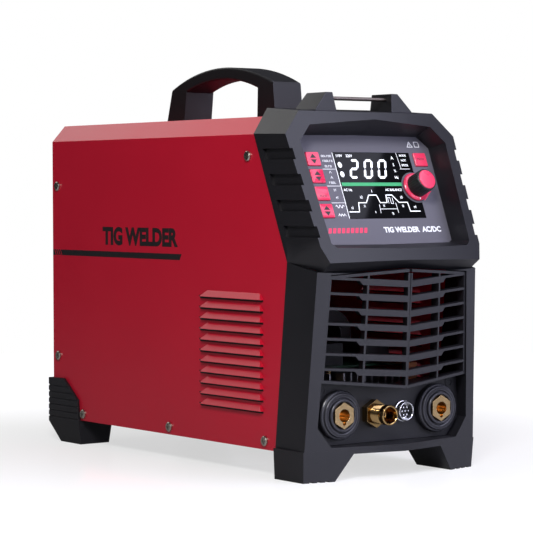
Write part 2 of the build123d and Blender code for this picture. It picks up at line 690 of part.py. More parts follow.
# ---------------------------------------------------------------- knob and its push-and-turn encoder
with BuildPart() as encoder_body:
    with BuildSketch(PANEL.offset(-PANEL_THICK - 0.1)):
        with Locations(KNOB_SPOT):
            Rectangle(12.5, 13.5)
    extrude(amount=-BOARD_GAP + 0.1)
    with BuildSketch(PANEL.offset(-PANEL_THICK - 0.1)):
        with Locations(KNOB_SPOT):
            Circle(4.5)
    extrude(amount=PANEL_THICK + 0.4)
    with BuildSketch(PANEL.offset(1.0)):
        with Locations(KNOB_SPOT):
            Circle(SHAFT_RADIUS + SHAFT_FIT)
    extrude(amount=-10.5, mode=Mode.SUBTRACT)
    with BuildSketch(PANEL.offset(-9.0)):
        with Locations(KNOB_SPOT):
            Circle(4.6)
    extrude(amount=-2.5, mode=Mode.SUBTRACT)
save("encoder_body", encoder_body.part)

with BuildPart() as encoder_plunger:
    with BuildSketch(PANEL.offset(-9.7)):
        with Locations(KNOB_SPOT):
            Circle(4.1)
    extrude(amount=-0.9)
save("encoder_plunger", encoder_plunger.part)

with BuildPart() as encoder_shaft:
    with BuildSketch(PANEL.offset(-9.6)):
        with Locations(KNOB_SPOT):
            Circle(SHAFT_RADIUS)
    extrude(amount=9.6 + KNOB_LONG - 5.0)
save("encoder_shaft", encoder_shaft.part)

with BuildPart() as knob_skirt:
    with BuildSketch(PANEL.offset(0.9)):
        with Locations(KNOB_SPOT):
            Circle(SKIRT_RADIUS)
            Circle(5.2, mode=Mode.SUBTRACT)
    extrude(amount=3.0)
    outer_rim = knob_skirt.edges().filter_by(GeomType.CIRCLE).sort_by(Axis(PANEL.origin, PANEL.z_dir))[-2:]
    chamfer(outer_rim.sort_by(SortBy.RADIUS)[-1], 1.2)
save("knob_skirt", knob_skirt.part)

with BuildPart() as knob_body:
    with BuildSketch(PANEL.offset(3.9)):
        with Locations(KNOB_SPOT):
            Circle(KNOB_RADIUS)
            with PolarLocations(KNOB_RADIUS + 0.15, 36):
                Circle(0.5, mode=Mode.SUBTRACT)
    extrude(amount=KNOB_LONG - 3.9)
    with BuildSketch(PANEL.offset(KNOB_LONG)):
        with Locations(KNOB_SPOT):
            Circle(CAP_RADIUS + 0.1)
    extrude(amount=-1.8, mode=Mode.SUBTRACT)
    with BuildSketch(PANEL.offset(3.9)):
        with Locations(KNOB_SPOT):
            Circle(SHAFT_RADIUS + 0.02)
    extrude(amount=KNOB_LONG - 8.9 + 0.1, mode=Mode.SUBTRACT)
save("knob_body", knob_body.part)

with BuildPart() as knob_cap:
    with BuildSketch(PANEL.offset(KNOB_LONG - 1.8)):
        with Locations(KNOB_SPOT):
            Circle(CAP_RADIUS)
    extrude(amount=2.8)
    chamfer(knob_cap.edges().filter_by(GeomType.CIRCLE).sort_by(Axis(PANEL.origin, PANEL.z_dir))[-1], 0.7)
save("knob_cap", knob_cap.part)

# ---------------------------------------------------------------- sheet-metal cover with louvres
HOOD_COUNT = 11
HOOD_PITCH = 11.05
HOOD_TOP_TIP = CASE_BOTTOM + 148.3
HOOD_HIGH = 8.2
HOOD_OUT = 4.5
HOOD_FRONT = 105.0
HOOD_REAR = 210.5
SCREW_SPOTS = [(COVER_REAR - 11.4, RIDGE_Z - 50.3), (SEAM_KNEE + 65.1, RIDGE_Z - 21.5),
               (COVER_REAR - 12.3, 96.8), (COVER_REAR - 64.4, 34.1),
               ((COVER_REAR + SEAM_FOOT) / 2 - 24.8, 34.8), (SEAM_FOOT + 17.8, 35.3)]


def hood(tip_z, skin):
    """One louvre hood on the +X side, or its hollow when a sheet thickness is given."""
    start, stop = HOOD_FRONT + skin, HOOD_REAR - skin
    inner = HALF - SHEET - skin
    reach = HALF + HOOD_OUT - 1.3 * skin
    low = tip_z - 0.4 * skin
    mouth = [(reach, low), (inner, low)] if skin else [(inner, low)]
    with BuildPart() as body:
        with BuildSketch(Plane.XZ.offset(-back(stop))):
            with BuildLine():
                Polyline((inner, tip_z + HOOD_HIGH - 1.3 * skin), (reach, tip_z), *mouth, close=True)
            make_face()
        extrude(amount=stop - start)
        top = tip_z + HOOD_HIGH - skin
        split(bisect_by=through((0, back(stop), tip_z), (0, back(stop - 10.5), top), (1, back(stop), tip_z)),
              keep=Keep.BOTTOM)
        split(bisect_by=through((0, back(start), tip_z), (1, back(start), tip_z), (0, back(start + 8.0), top)),
              keep=Keep.BOTTOM)
    return body.part


HOODS = [hood(HOOD_TOP_TIP - i * HOOD_PITCH, 0.0) for i in range(HOOD_COUNT)]
HOLLOWS = [hood(HOOD_TOP_TIP - i * HOOD_PITCH, SHEET) for i in range(HOOD_COUNT)]
CASE_OUTLINE = [(HALF, CASE_BOTTOM - 10), (HALF, RIDGE_Z), (HALF - CORNER_X, CASE_TOP)]
SEAM = [(0, CASE_BOTTOM - 5), (SEAM_FOOT + GAP, CASE_BOTTOM - 5), (SEAM_FOOT + GAP, CASE_BOTTOM),
        (SEAM_KNEE + GAP, KNEE_Z), (SEAM_KNEE + GAP + TILT_RUN * (CASE_TOP + 5 - KNEE_Z), CASE_TOP + 5),
        (0, CASE_TOP + 5)]
HANDLE_BOLTS = [(x, back(depth)) for x in (-BOLT_X, BOLT_X)
                for depth in (HANDLE_FRONT + 16.0, HANDLE_REAR - 17.0)]
with BuildPart() as outer_cover:
    with BuildSketch(Plane.XZ.offset(-back(COVER_REAR))):
        with BuildLine():
            Polyline(*CASE_OUTLINE, *[(-x, z) for x, z in reversed(CASE_OUTLINE)], close=True)
        make_face()
        offset(amount=-SHEET, kind=Kind.INTERSECTION, mode=Mode.SUBTRACT)
        with Locations((0, CASE_BOTTOM - 5)):
            Rectangle(CASE_WIDTH + 2, 10, mode=Mode.SUBTRACT)
    extrude(amount=COVER_REAR - 50)
    with BuildSketch(Plane.YZ.offset(-HALF - 1)):
        with BuildLine():
            Polyline(*[(back(depth), z) for depth, z in SEAM], close=True)
        make_face()
    extrude(amount=CASE_WIDTH + 2, mode=Mode.SUBTRACT)
    split(bisect_by=Plane.YZ, keep=Keep.TOP)
    add(HOODS)
    add(HOLLOWS, mode=Mode.SUBTRACT)
    mirror(about=Plane.YZ)
    with BuildSketch(Plane.YZ.offset(-HALF - 1)):
        with Locations(*[(back(depth), z) for depth, z in SCREW_SPOTS]):
            Circle(SCREW_HOLE)
    extrude(amount=CASE_WIDTH + 2, mode=Mode.SUBTRACT)
    with BuildSketch(Plane.XY.offset(CASE_TOP - 5)):
        with Locations(*HANDLE_BOLTS):
            Circle(SCREW_HOLE)
    extrude(amount=10, mode=Mode.SUBTRACT)
save("outer_cover", outer_cover.part)

# ---------------------------------------------------------------- chassis tray and rear panel
REAR_FACE = COVER_REAR - PANEL_INSET
INNER_HALF = HALF - SHEET - GAP
TRAY_LOW = CASE_BOTTOM + 1.2
TRAY_TOP = TRAY_LOW + TRAY_SHEET
TRAY_FLANGE = 22.0
LOW_SCREWS = SCREW_SPOTS[3:]
with BuildPart() as base_chassis:
    with BuildSketch(Plane.XZ.offset(-back(REAR_FACE - 2.0))):
        with Locations((0, TRAY_LOW)):
            Rectangle(2 * INNER_HALF, TRAY_FLANGE, align=(Align.CENTER, Align.MIN))
        with Locations((0, TRAY_TOP)):
            Rectangle(2 * (INNER_HALF - TRAY_SHEET), TRAY_FLANGE, align=(Align.CENTER, Align.MIN),
                      mode=Mode.SUBTRACT)
    extrude(amount=REAR_FACE - 2.0 - SEAM_FOOT - 1.0)
    with BuildSketch(Plane.YZ.offset(-HALF - 1)):
        with Locations(*[(back(depth), z) for depth, z in LOW_SCREWS]):
            Circle(SCREW_HOLE)
    extrude(amount=CASE_WIDTH + 2, mode=Mode.SUBTRACT)
save("base_chassis", base_chassis.part)

REAR_PLANE = Plane.XZ.offset(-back(REAR_FACE))
with BuildPart() as rear_panel:
    with BuildSketch(REAR_PLANE):
        with BuildLine():
            shoulder = HALF - CORNER_X - GAP
            under = CASE_TOP - SHEET - GAP
            Polyline((INNER_HALF, TRAY_LOW), (INNER_HALF, RIDGE_Z - GAP), (shoulder, under),
                     (-shoulder, under), (-INNER_HALF, RIDGE_Z - GAP), (-INNER_HALF, TRAY_LOW), close=True)
        make_face()
        offset(amount=-0.4, kind=Kind.INTERSECTION, mode=Mode.REPLACE)
        with Locations((0, FAN_Z)):
            Circle(FAN_SIZE / 2 - 3, mode=Mode.SUBTRACT)
            with GridLocations(105, 105, 2, 2):
                Circle(2.3, mode=Mode.SUBTRACT)
        with Locations((SWITCH_X, REAR_ROW_Z)):
            Rectangle(26.4, 30.4, mode=Mode.SUBTRACT)
        with Locations((GLAND_X, REAR_ROW_Z)):
            Circle(8.2, mode=Mode.SUBTRACT)
        with Locations((GAS_X, GAS_Z)):
            Circle(5.3, mode=Mode.SUBTRACT)
        with Locations((-GAS_X, GAS_Z)):
            Circle(3.2, mode=Mode.SUBTRACT)
    extrude(amount=1.5)
save("rear_panel", rear_panel.part)

# ---------------------------------------------------------------- rear corner feet
CLAD = 3.2
FOOT_SIDE = [(COVER_REAR + 6.0, 71.0), (COVER_REAR - 26.2, 71.7), (COVER_REAR - 55.7, 49.0),
             (COVER_REAR - 58.7, 24.8), (COVER_REAR - 63.2, 0.0), (COVER_REAR - 20.7, 0.0),
             (COVER_REAR + 6.0, 21.6)]
with BuildPart() as rear_foot:
    with BuildSketch(Plane.YZ.offset(HALF - 42)):
        with BuildLine():
            Polyline(*[(back(depth), z) for depth, z in FOOT_SIDE], close=True)
        make_face()
    extrude(amount=42 + CLAD)
    inner_slope = through((HALF - 34, 0, 0), (HALF - 34, 1, 0), (HALF - 42, 0, CASE_BOTTOM))
    split(bisect_by=inner_slope, keep=Keep.TOP)
    with Locations((0, back(COVER_REAR + GAP), CASE_BOTTOM - GAP)):
        Box(2 * (HALF + GAP), COVER_REAR, 200, align=(Align.CENTER, Align.MAX, Align.MIN), mode=Mode.SUBTRACT)
    for index in range(6):
        with BuildSketch(Plane.YZ.offset(HALF + CLAD - 1.0)):
            with Locations((back(COVER_REAR - 30), 27.5 + 7.0 * index)):
                Rectangle(90, 1.6)
        extrude(amount=2, mode=Mode.SUBTRACT)
save("rear_foot_right", rear_foot.part)
with BuildPart() as rear_foot_left:
    add(mirror(rear_foot.part, about=Plane.YZ, mode=Mode.PRIVATE))
save("rear_foot_left", rear_foot_left.part)

# ---------------------------------------------------------------- carry handle
with BuildPart() as carry_handle:
    with BuildSketch(Plane.YZ.offset(-HANDLE_WIDE / 2)):
        with BuildLine():
            Line((back(HANDLE_FRONT), CASE_TOP), (back(HANDLE_FRONT + 4.2), CASE_TOP + 40))
            ThreePointArc((back(HANDLE_FRONT + 4.2), CASE_TOP + 40),
                          (back(HANDLE_FRONT + 88), CASE_TOP + HANDLE_RISE),
                          (back(HANDLE_REAR - 11.4), CASE_TOP + 39))
            Line((back(HANDLE_REAR - 11.4), CASE_TOP + 39), (back(HANDLE_REAR), CASE_TOP))
            Line((back(HANDLE_REAR), CASE_TOP), (back(HANDLE_REAR - 34.5), CASE_TOP))
            Line((back(HANDLE_REAR - 34.5), CASE_TOP), (back(HANDLE_REAR - 38.8), CASE_TOP + 34.6))
            ThreePointArc((back(HANDLE_REAR - 38.8), CASE_TOP + 34.6),
                          (back(HANDLE_FRONT + 88), CASE_TOP + 45.8),
                          (back(HANDLE_FRONT + 31), CASE_TOP + 33.7))
            Line((back(HANDLE_FRONT + 31), CASE_TOP + 33.7), (back(HANDLE_FRONT + 32), CASE_TOP))
            Line((back(HANDLE_FRONT + 32), CASE_TOP), (back(HANDLE_FRONT), CASE_TOP))
        make_face()
    extrude(amount=HANDLE_WIDE)
    fillet(carry_handle.edges().filter_by(GeomType.CIRCLE), 2.5)
    with BuildSketch(Plane.XY.offset(CASE_TOP)):
        with Locations(*HANDLE_BOLTS):
            Circle(SCREW_SHANK + 0.05)
    extrude(amount=15.0, mode=Mode.SUBTRACT)
save("carry_handle", carry_handle.part)

# ---------------------------------------------------------------- strap brackets and bar on the moulding
CROWN = through((0, back(FACE_REF + TILT_RUN * (TOP_FRONT_Z - FACE_REF_Z)), TOP_FRONT_Z),
                (1, back(FACE_REF + TILT_RUN * (TOP_FRONT_Z - FACE_REF_Z)), TOP_FRONT_Z),
                (0, back(FACE_REF + BEZEL_DEPTH + TILT_RUN * (TOP_REAR_Z - FACE_REF_Z)), TOP_REAR_Z))
STRAP_TOP = TOP_FRONT_Z + 19.2
BAR_DEPTH = 88.0
BAR_RADIUS = 2.0
BAR_Z = TOP_FRONT_Z + 13.4
with BuildPart() as strap_brackets:
    with BuildSketch(Plane.XZ.offset(-back(110))):
        with BuildLine():
            Polyline((35, TOP_FRONT_Z - 2), (38, STRAP_TOP), (46, STRAP_TOP),
                     (62, TOP_FRONT_Z + 1.5), (62, TOP_FRONT_Z - 2), close=True)
        make_face()
    extrude(amount=36)
    split(bisect_by=CROWN.offset(0.05), keep=Keep.TOP)
    slope = through((0, back(78), STRAP_TOP), (1, back(78), STRAP_TOP), (0, back(74.5), TOP_FRONT_Z))
    split(bisect_by=slope, keep=Keep.TOP)
    with BuildSketch(Plane.YZ.offset(30)):
        with Locations((back(BAR_DEPTH), BAR_Z)):
            Circle(BAR_RADIUS + 0.05)
    extrude(amount=12, mode=Mode.SUBTRACT)
    mirror(about=Plane.YZ)
save("strap_brackets", strap_brackets.part)
with BuildPart() as strap_bar:
    with BuildSketch(Plane.YZ.offset(-41)):
        with Locations((back(BAR_DEPTH), BAR_Z)):
            Circle(BAR_RADIUS)
    extrude(amount=82)
save("strap_bar", strap_bar.part)

# ---------------------------------------------------------------- fan, its guard and the motor stator
SHAFT_R = 2.0
FAN_REAR = REAR_FACE - 1.5 - 0.1
FAN_FRONT = FAN_REAR - FAN_DEEP
DUCT_R = FAN_SIZE / 2 - 3.0
TUBE_R = 4.5
STATOR_R = 15.0


def fan_plane(depth):
    """Plane across the fan axis, facing the rear, with its origin on the axis."""
    return Plane(origin=(0, back(depth), FAN_Z), x_dir=(-1, 0, 0), z_dir=(0, 1, 0))


with BuildPart() as fan_frame:
    with BuildSketch(fan_plane(FAN_FRONT)):
        RectangleRounded(FAN_SIZE, FAN_SIZE, 6)
        Circle(DUCT_R, mode=Mode.SUBTRACT)
        with GridLocations(105, 105, 2, 2):
            Circle(2.3, mode=Mode.SUBTRACT)
    extrude(amount=FAN_DEEP)
    with BuildSketch(fan_plane(FAN_FRONT)):
        Circle(19.0)
        with PolarLocations(DUCT_R / 2 + 5, 4, start_angle=20):
            Rectangle(DUCT_R, 4.0)
        Circle(TUBE_R, mode=Mode.SUBTRACT)
    extrude(amount=3.0)
    with BuildSketch(fan_plane(FAN_FRONT)):
        Circle(TUBE_R)
        Circle(SHAFT_R + SHAFT_FIT, mode=Mode.SUBTRACT)
    extrude(amount=18.0)
save("fan_frame", fan_frame.part)

with BuildPart() as fan_stator:
    with BuildSketch(fan_plane(FAN_FRONT + 5.0)):
        Circle(STATOR_R)
        Circle(TUBE_R + 0.1, mode=Mode.SUBTRACT)
        with PolarLocations(STATOR_R, 4, start_angle=45):
            Rectangle(8, 2.4, mode=Mode.SUBTRACT)
    extrude(amount=10.0)
    with BuildSketch(fan_plane(FAN_FRONT + 3.0)):
        Circle(TUBE_R + 2.5)
        Circle(TUBE_R + 0.1, mode=Mode.SUBTRACT)
    extrude(amount=2.0)
save("fan_stator", fan_stator.part)

BLADES = 7
with BuildPart() as fan_rotor:
    with BuildSketch(fan_plane(FAN_FRONT + 4.0)):
        Circle(FAN_HUB)
        Circle(FAN_HUB - 2.0, mode=Mode.SUBTRACT)
    extrude(amount=16.0)
    with BuildSketch(fan_plane(FAN_FRONT + 20.0)):
        Circle(FAN_HUB)
    extrude(amount=2.0)
    with BuildSketch(fan_plane(FAN_FRONT + 1.0)):
        Circle(SHAFT_R)
    extrude(amount=20.0)
    for index in range(BLADES):
        angle = radians(360 / BLADES * index)
        spoke = (cos(angle), 0, sin(angle))
        start = FAN_HUB - 1
        root = Plane(origin=(spoke[0] * start, back(FAN_FRONT + 12.5), FAN_Z + spoke[2] * start),
                     x_dir=(0, 1, 0), z_dir=spoke)
        with BuildSketch(root):
            Rectangle(22.0, 1.8, rotation=38)
        extrude(amount=DUCT_R - FAN_HUB - 1.0)
save("fan_rotor", fan_rotor.part)

GUARD_WIRE = 1.2
with BuildPart() as fan_guard:
    with BuildSketch(fan_plane(REAR_FACE + 0.6)):
        for radius in (54.0, 44.0, 34.0, 24.0, 14.0):
            Circle(radius)
            Circle(radius - 2 * GUARD_WIRE, mode=Mode.SUBTRACT)
    extrude(amount=GUARD_WIRE * 1.6)
    with BuildSketch(fan_plane(REAR_FACE + 0.05)):
        with PolarLocations(0, 4, start_angle=45):
            with Locations((41.5, 0)):
                Rectangle(72.0, 3.0)
        with GridLocations(105, 105, 2, 2):
            Circle(6.0)
    extrude(amount=1.4)
    with BuildSketch(fan_plane(REAR_FACE)):
        with GridLocations(105, 105, 2, 2):
            Circle(2.3)
    extrude(amount=5, mode=Mode.SUBTRACT)
save("fan_guard", fan_guard.part)

# ---------------------------------------------------------------- power switch
SWITCH_PLANE = Plane(origin=(SWITCH_X, back(REAR_FACE), REAR_ROW_Z), x_dir=(-1, 0, 0), z_dir=(0, 1, 0))
PIVOT_R = 1.5
PIVOT_IN = 3.4
ROCKER_WIDE = 18.0
ROCKER_TILT = 9.0
with BuildPart() as switch_housing:
    with BuildSketch(SWITCH_PLANE):
        RectangleRounded(31.0, 35.0, 2.0)
    extrude(amount=2.6)
    with BuildSketch(SWITCH_PLANE):
        Rectangle(26.0, 30.0)
    extrude(amount=-20.0)
    with BuildSketch(SWITCH_PLANE.offset(2.6)):
        Rectangle(ROCKER_WIDE + 0.8, 23.0)
    extrude(amount=-14.0, mode=Mode.SUBTRACT)
    with BuildSketch(Plane.YZ.offset(SWITCH_X - 12)):
        with Locations((back(REAR_FACE - PIVOT_IN), REAR_ROW_Z)):
            Circle(PIVOT_R + SHAFT_FIT)
    extrude(amount=24.0, mode=Mode.SUBTRACT)
    with BuildSketch(SWITCH_PLANE.offset(-20.0)):
        with GridLocations(12, 12, 2, 2):
            Rectangle(6.3, 0.8)
    extrude(amount=-9.0)
save("switch_housing", switch_housing.part)

with BuildPart() as switch_rocker:
    turned = Plane(origin=(SWITCH_X - ROCKER_WIDE / 2, back(REAR_FACE - PIVOT_IN), REAR_ROW_Z),
                   x_dir=(0, cos(radians(ROCKER_TILT)), sin(radians(ROCKER_TILT))), z_dir=(1, 0, 0))
    with BuildSketch(turned):
        with BuildLine():
            Polyline((-4.0, -4.0), (-4.0, 4.0), (3.0, 9.6), (7.6, 9.6), (5.4, 0), (7.6, -9.6), (3.0, -9.6),
                     close=True)
        make_face()
    extrude(amount=ROCKER_WIDE)
    with BuildSketch(turned.offset(-2.0)):
        Circle(PIVOT_R)
    extrude(amount=ROCKER_WIDE + 4.0)
save("switch_rocker", switch_rocker.part)

# ---------------------------------------------------------------- cable gland, gas inlet and earth stud
GLAND_BORE = 5.5
with BuildPart() as cable_gland:
    with BuildSketch(REAR_PLANE.offset(-0.1)):
        with Locations((GLAND_X, REAR_ROW_Z)):
            RegularPolygon(12.5, 6)
    extrude(amount=-6.0)
    with BuildSketch(REAR_PLANE.offset(-6.1)):
        with Locations((GLAND_X, REAR_ROW_Z)):
            Circle(10.5)
    extrude(amount=-11.0)
    chamfer(cable_gland.edges().filter_by(GeomType.CIRCLE).sort_by(Axis.Y)[-1], 3.0)
    with BuildSketch(REAR_PLANE.offset(-0.1)):
        with Locations((GLAND_X, REAR_ROW_Z)):
            Circle(8.0)
    extrude(amount=16.0)
    with BuildSketch(REAR_PLANE.offset(20.0)):
        with Locations((GLAND_X, REAR_ROW_Z)):
            Circle(GLAND_BORE)
    extrude(amount=-45.0, mode=Mode.SUBTRACT)
save("cable_gland", cable_gland.part)
with BuildPart() as gland_nut:
    with BuildSketch(REAR_PLANE.offset(1.6)):
        with Locations((GLAND_X, REAR_ROW_Z)):
            RegularPolygon(12.5, 6)
            Circle(8.1, mode=Mode.SUBTRACT)
    extrude(amount=5.0)
save("gland_nut", gland_nut.part)

GAS_BORE = 2.2
GAS_REACH = LENGTH - REAR_FACE
GAS_STUB = 14.0
with BuildPart() as gas_inlet:
    with BuildSketch(REAR_PLANE.offset(-0.1)):
        with Locations((GAS_X, GAS_Z)):
            RegularPolygon(9.0, 6)
    extrude(amount=-6.0)
    with BuildSketch(REAR_PLANE.offset(-6.1)):
        with Locations((GAS_X, GAS_Z)):
            Circle(3.6)
    extrude(amount=6.1 - GAS_REACH)
    for index in range(3):
        with BuildSketch(REAR_PLANE.offset(-9.0 - 5.0 * index)):
            with Locations((GAS_X, GAS_Z)):
                Circle(4.6)
        extrude(amount=-4.0, taper=12)
    with BuildSketch(REAR_PLANE.offset(-0.1)):
        with Locations((GAS_X, GAS_Z)):
            Circle(5.1)
    extrude(amount=GAS_STUB)
    with BuildSketch(REAR_PLANE.offset(30)):
        with Locations((GAS_X, GAS_Z)):
            Circle(GAS_BORE)
    extrude(amount=-80.0, mode=Mode.SUBTRACT)
save("gas_inlet", gas_inlet.part)

with BuildPart() as earth_stud:
    with BuildSketch(REAR_PLANE.offset(8.0)):
        with Locations((-GAS_X, GAS_Z)):
            Circle(3.0)
    extrude(amount=-22.0)
    for start in (-0.1, 1.6):
        with BuildSketch(REAR_PLANE.offset(start)):
            with Locations((-GAS_X, GAS_Z)):
                RegularPolygon(5.8, 6)
        extrude(amount=-5.0 if start < 0 else 5.0)
save("earth_stud", earth_stud.part)

# ---------------------------------------------------------------- power stage inside the case
BAY_FRONT = SEAM_FOOT + 34.0
BAY_REAR = FAN_FRONT - 22.0
BAY = BAY_REAR - BAY_FRONT
SINK_HIGH = 66.0
SINK_WIDE = 78.0
SINK_X = 46.0
BOARD_Z = TRAY_TOP + SINK_HIGH + 6.0
BOARD_WIDE = 2 * (SINK_X + SINK_WIDE / 2)
SINK_BASE = 6.0
FIN_THICK = 2.4
FIN_PITCH = 9.2
FIN_COUNT = 9
with BuildPart() as heatsinks:
    with BuildSketch(Plane.XZ.offset(-back(BAY_REAR))):
        with Locations((-SINK_X, TRAY_TOP), (SINK_X, TRAY_TOP)):
            Rectangle(SINK_WIDE, SINK_BASE, align=(Align.CENTER, Align.MIN))
        fins_z = TRAY_TOP + (SINK_BASE + SINK_HIGH) / 2
        with Locations((-SINK_X, fins_z), (SINK_X, fins_z)):
            with GridLocations(FIN_PITCH, 0, FIN_COUNT, 1):
                Rectangle(FIN_THICK, SINK_HIGH - SINK_BASE)
    extrude(amount=BAY)
save("heatsinks", heatsinks.part)

with BuildPart() as board_standoffs:
    with BuildSketch(Plane.XY.offset(TRAY_TOP)):
        with Locations((0, back((BAY_FRONT + BAY_REAR) / 2))):
            with GridLocations(0, BAY - 30, 1, 2):
                RegularPolygon(3.2, 6)
    extrude(amount=BOARD_Z - TRAY_TOP)
    with BuildSketch(PANEL.offset(-PANEL_THICK)):
        with Locations(*BOARD_POSTS):
            Circle(2.8)
    extrude(amount=-BOARD_GAP)
save("board_standoffs", board_standoffs.part)

with BuildPart() as main_board:
    with BuildSketch(Plane.XY.offset(BOARD_Z)):
        with Locations((0, back((BAY_FRONT + BAY_REAR) / 2))):
            Rectangle(BOARD_WIDE, BAY)
    extrude(amount=2.0)
save("main_board", main_board.part)

PART_Z = BOARD_Z + 2.0
with BuildPart() as filter_capacitors:
    with BuildSketch(Plane.XY.offset(PART_Z)):
        with Locations((-58, back(BAY_REAR - 60))):
            with GridLocations(40, 44, 2, 2):
                Circle(17.5)
    extrude(amount=48.0)
    chamfer(filter_capacitors.edges().filter_by(GeomType.CIRCLE).group_by(Axis.Z)[-1], 1.5)
save("filter_capacitors", filter_capacitors.part)

with BuildPart() as transformer_core:
    with Locations((48, back(BAY_REAR - 65), PART_Z)):
        Box(66, 52, 58, align=(Align.CENTER, Align.CENTER, Align.MIN))
        with Locations((-20, 0, 13), (20, 0, 13)):
            Box(14, 60, 32, align=(Align.CENTER, Align.CENTER, Align.MIN), mode=Mode.SUBTRACT)
save("transformer_core", transformer_core.part)
with BuildPart() as transformer_coil:
    with Locations((48, back(BAY_REAR - 65), PART_Z + 13.5)):
        Box(53, 74, 31, align=(Align.CENTER, Align.CENTER, Align.MIN))
        Box(26.6, 52.6, 31, align=(Align.CENTER, Align.CENTER, Align.MIN), mode=Mode.SUBTRACT)
    fillet(transformer_coil.edges().filter_by(Axis.Z).group_by(SortBy.DISTANCE)[-1], 4)
save("transformer_coil", transformer_coil.part)

with BuildPart() as rectifier_modules:
    with Locations((0, back(BAY_FRONT + 34), PART_Z)):
        with GridLocations(62, 0, 3, 1):
            Box(34, 44, 22, align=(Align.CENTER, Align.CENTER, Align.MIN))
save("rectifier_modules", rectifier_modules.part)

with BuildPart() as arc_starter_coil:
    with BuildSketch(Plane.XZ.offset(-back(BAY_FRONT + 96))):
        with Locations((50, PART_Z + 27)):
            Circle(26)
            Circle(12, mode=Mode.SUBTRACT)
    extrude(amount=24.0)
save("arc_starter_coil", arc_starter_coil.part)

VALVE_BODY = 26.0
VALVE_DEPTH = REAR_FACE - GAS_STUB - VALVE_BODY / 2
with BuildPart() as gas_valve:
    with Locations((GAS_X, back(VALVE_DEPTH), GAS_Z)):
        Box(VALVE_BODY, VALVE_BODY, VALVE_BODY)
        with Locations((0, 0, VALVE_BODY / 2 + 11)):
            Cylinder(VALVE_BODY / 2 - 1.5, 22)
save("gas_valve", gas_valve.part)

HOSE_RADIUS = 3.0
HOSE_X = SINK_X + SINK_WIDE / 2 + 8.0
HOSE_CROSS = BAY_FRONT - 15.0
TORCH_END = PLATE_DEPTH + TORCH_BEHIND
with BuildPart() as gas_hose:
    with BuildLine() as hose_route:
        FilletPolyline((GAS_X + VALVE_BODY / 2, back(VALVE_DEPTH), GAS_Z), (HOSE_X, back(VALVE_DEPTH), GAS_Z),
                       (HOSE_X, back(HOSE_CROSS), GAS_Z), (TORCH_X, back(HOSE_CROSS), SOCKET_Z - 1),
                       (TORCH_X, back(TORCH_END), SOCKET_Z - 1), radius=12.0)
    with BuildSketch(Plane(origin=hose_route.line @ 0, z_dir=hose_route.line % 0)):
        Circle(HOSE_RADIUS)
    sweep(path=hose_route.line)
save("gas_hose", gas_hose.part)

BUS_DEPTH = 34.0
BUS_WIDE = 16.0
BUS_THICK = 3.0
with BuildPart() as bus_bars:
    for x in (-SOCKET_X, SOCKET_X):
        with BuildSketch(PLATE_FACE.offset(-BUS_DEPTH)):
            with Locations((x, SOCKET_Z)):
                Rectangle(20, 24)
                Circle(6.2, mode=Mode.SUBTRACT)
            with Locations((x, SOCKET_Z + 11)):
                Rectangle(BUS_WIDE, BOARD_Z + 6 - SOCKET_Z - 11, align=(Align.CENTER, Align.MIN))
        extrude(amount=-BUS_THICK)
        with Locations((x, back(PLATE_DEPTH + BUS_DEPTH), BOARD_Z + 3.0)):
            Box(BUS_WIDE, BAY_FRONT + 10 - PLATE_DEPTH - BUS_DEPTH, BUS_THICK,
                align=(Align.CENTER, Align.MIN, Align.MIN))
save("bus_bars", bus_bars.part)

# ---------------------------------------------------------------- screws
with BuildPart() as cover_screws:
    for side in (-1, 1):
        with BuildSketch(Plane.YZ.offset(side * HALF)):
            with Locations(*[(back(depth), z) for depth, z in SCREW_SPOTS]):
                Circle(SCREW_HEAD)
        extrude(amount=side * SCREW_CROWN)
        with BuildSketch(Plane.YZ.offset(side * (HALF - 5.5))):
            with Locations(*[(back(depth), z) for depth, z in SCREW_SPOTS]):
                Circle(SCREW_SHANK)
        extrude(amount=side * 5.5)
        with BuildSketch(Plane.YZ.offset(side * (HALF + SCREW_CROWN))):
            with Locations(*[(back(depth), z) for depth, z in SCREW_SPOTS]):
                Rectangle(5.6, 1.2)
                Rectangle(1.2, 5.6)
        extrude(amount=-side * 1.5, mode=Mode.SUBTRACT)
    crowns = cover_screws.edges().filter_by(GeomType.CIRCLE).filter_by(lambda e: e.radius > SCREW_HEAD - 1)
    chamfer(crowns.filter_by(lambda e: abs(abs(e.center().X) - HALF - SCREW_CROWN) < 0.01), 0.9)
save("cover_screws", cover_screws.part)

with BuildPart() as handle_screws:
    with BuildSketch(Plane.XY.offset(CASE_TOP - SHEET - 2.6)):
        with Locations(*HANDLE_BOLTS):
            Circle(4.4)
    extrude(amount=2.6)
    with BuildSketch(Plane.XY.offset(CASE_TOP - SHEET)):
        with Locations(*HANDLE_BOLTS):
            Circle(SCREW_SHANK)
    extrude(amount=SHEET + 14.0)
save("handle_screws", handle_screws.part)

with BuildPart() as fan_screws:
    with BuildSketch(fan_plane(REAR_FACE + 1.5)):
        with GridLocations(105, 105, 2, 2):
            Circle(3.8)
    extrude(amount=2.2)
    with BuildSketch(fan_plane(REAR_FACE + 1.5)):
        with GridLocations(105, 105, 2, 2):
            Circle(2.0)
    extrude(amount=-16.0)
save("fan_screws", fan_screws.part)
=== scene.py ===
"""Looks of a portable TIG welding machine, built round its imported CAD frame."""

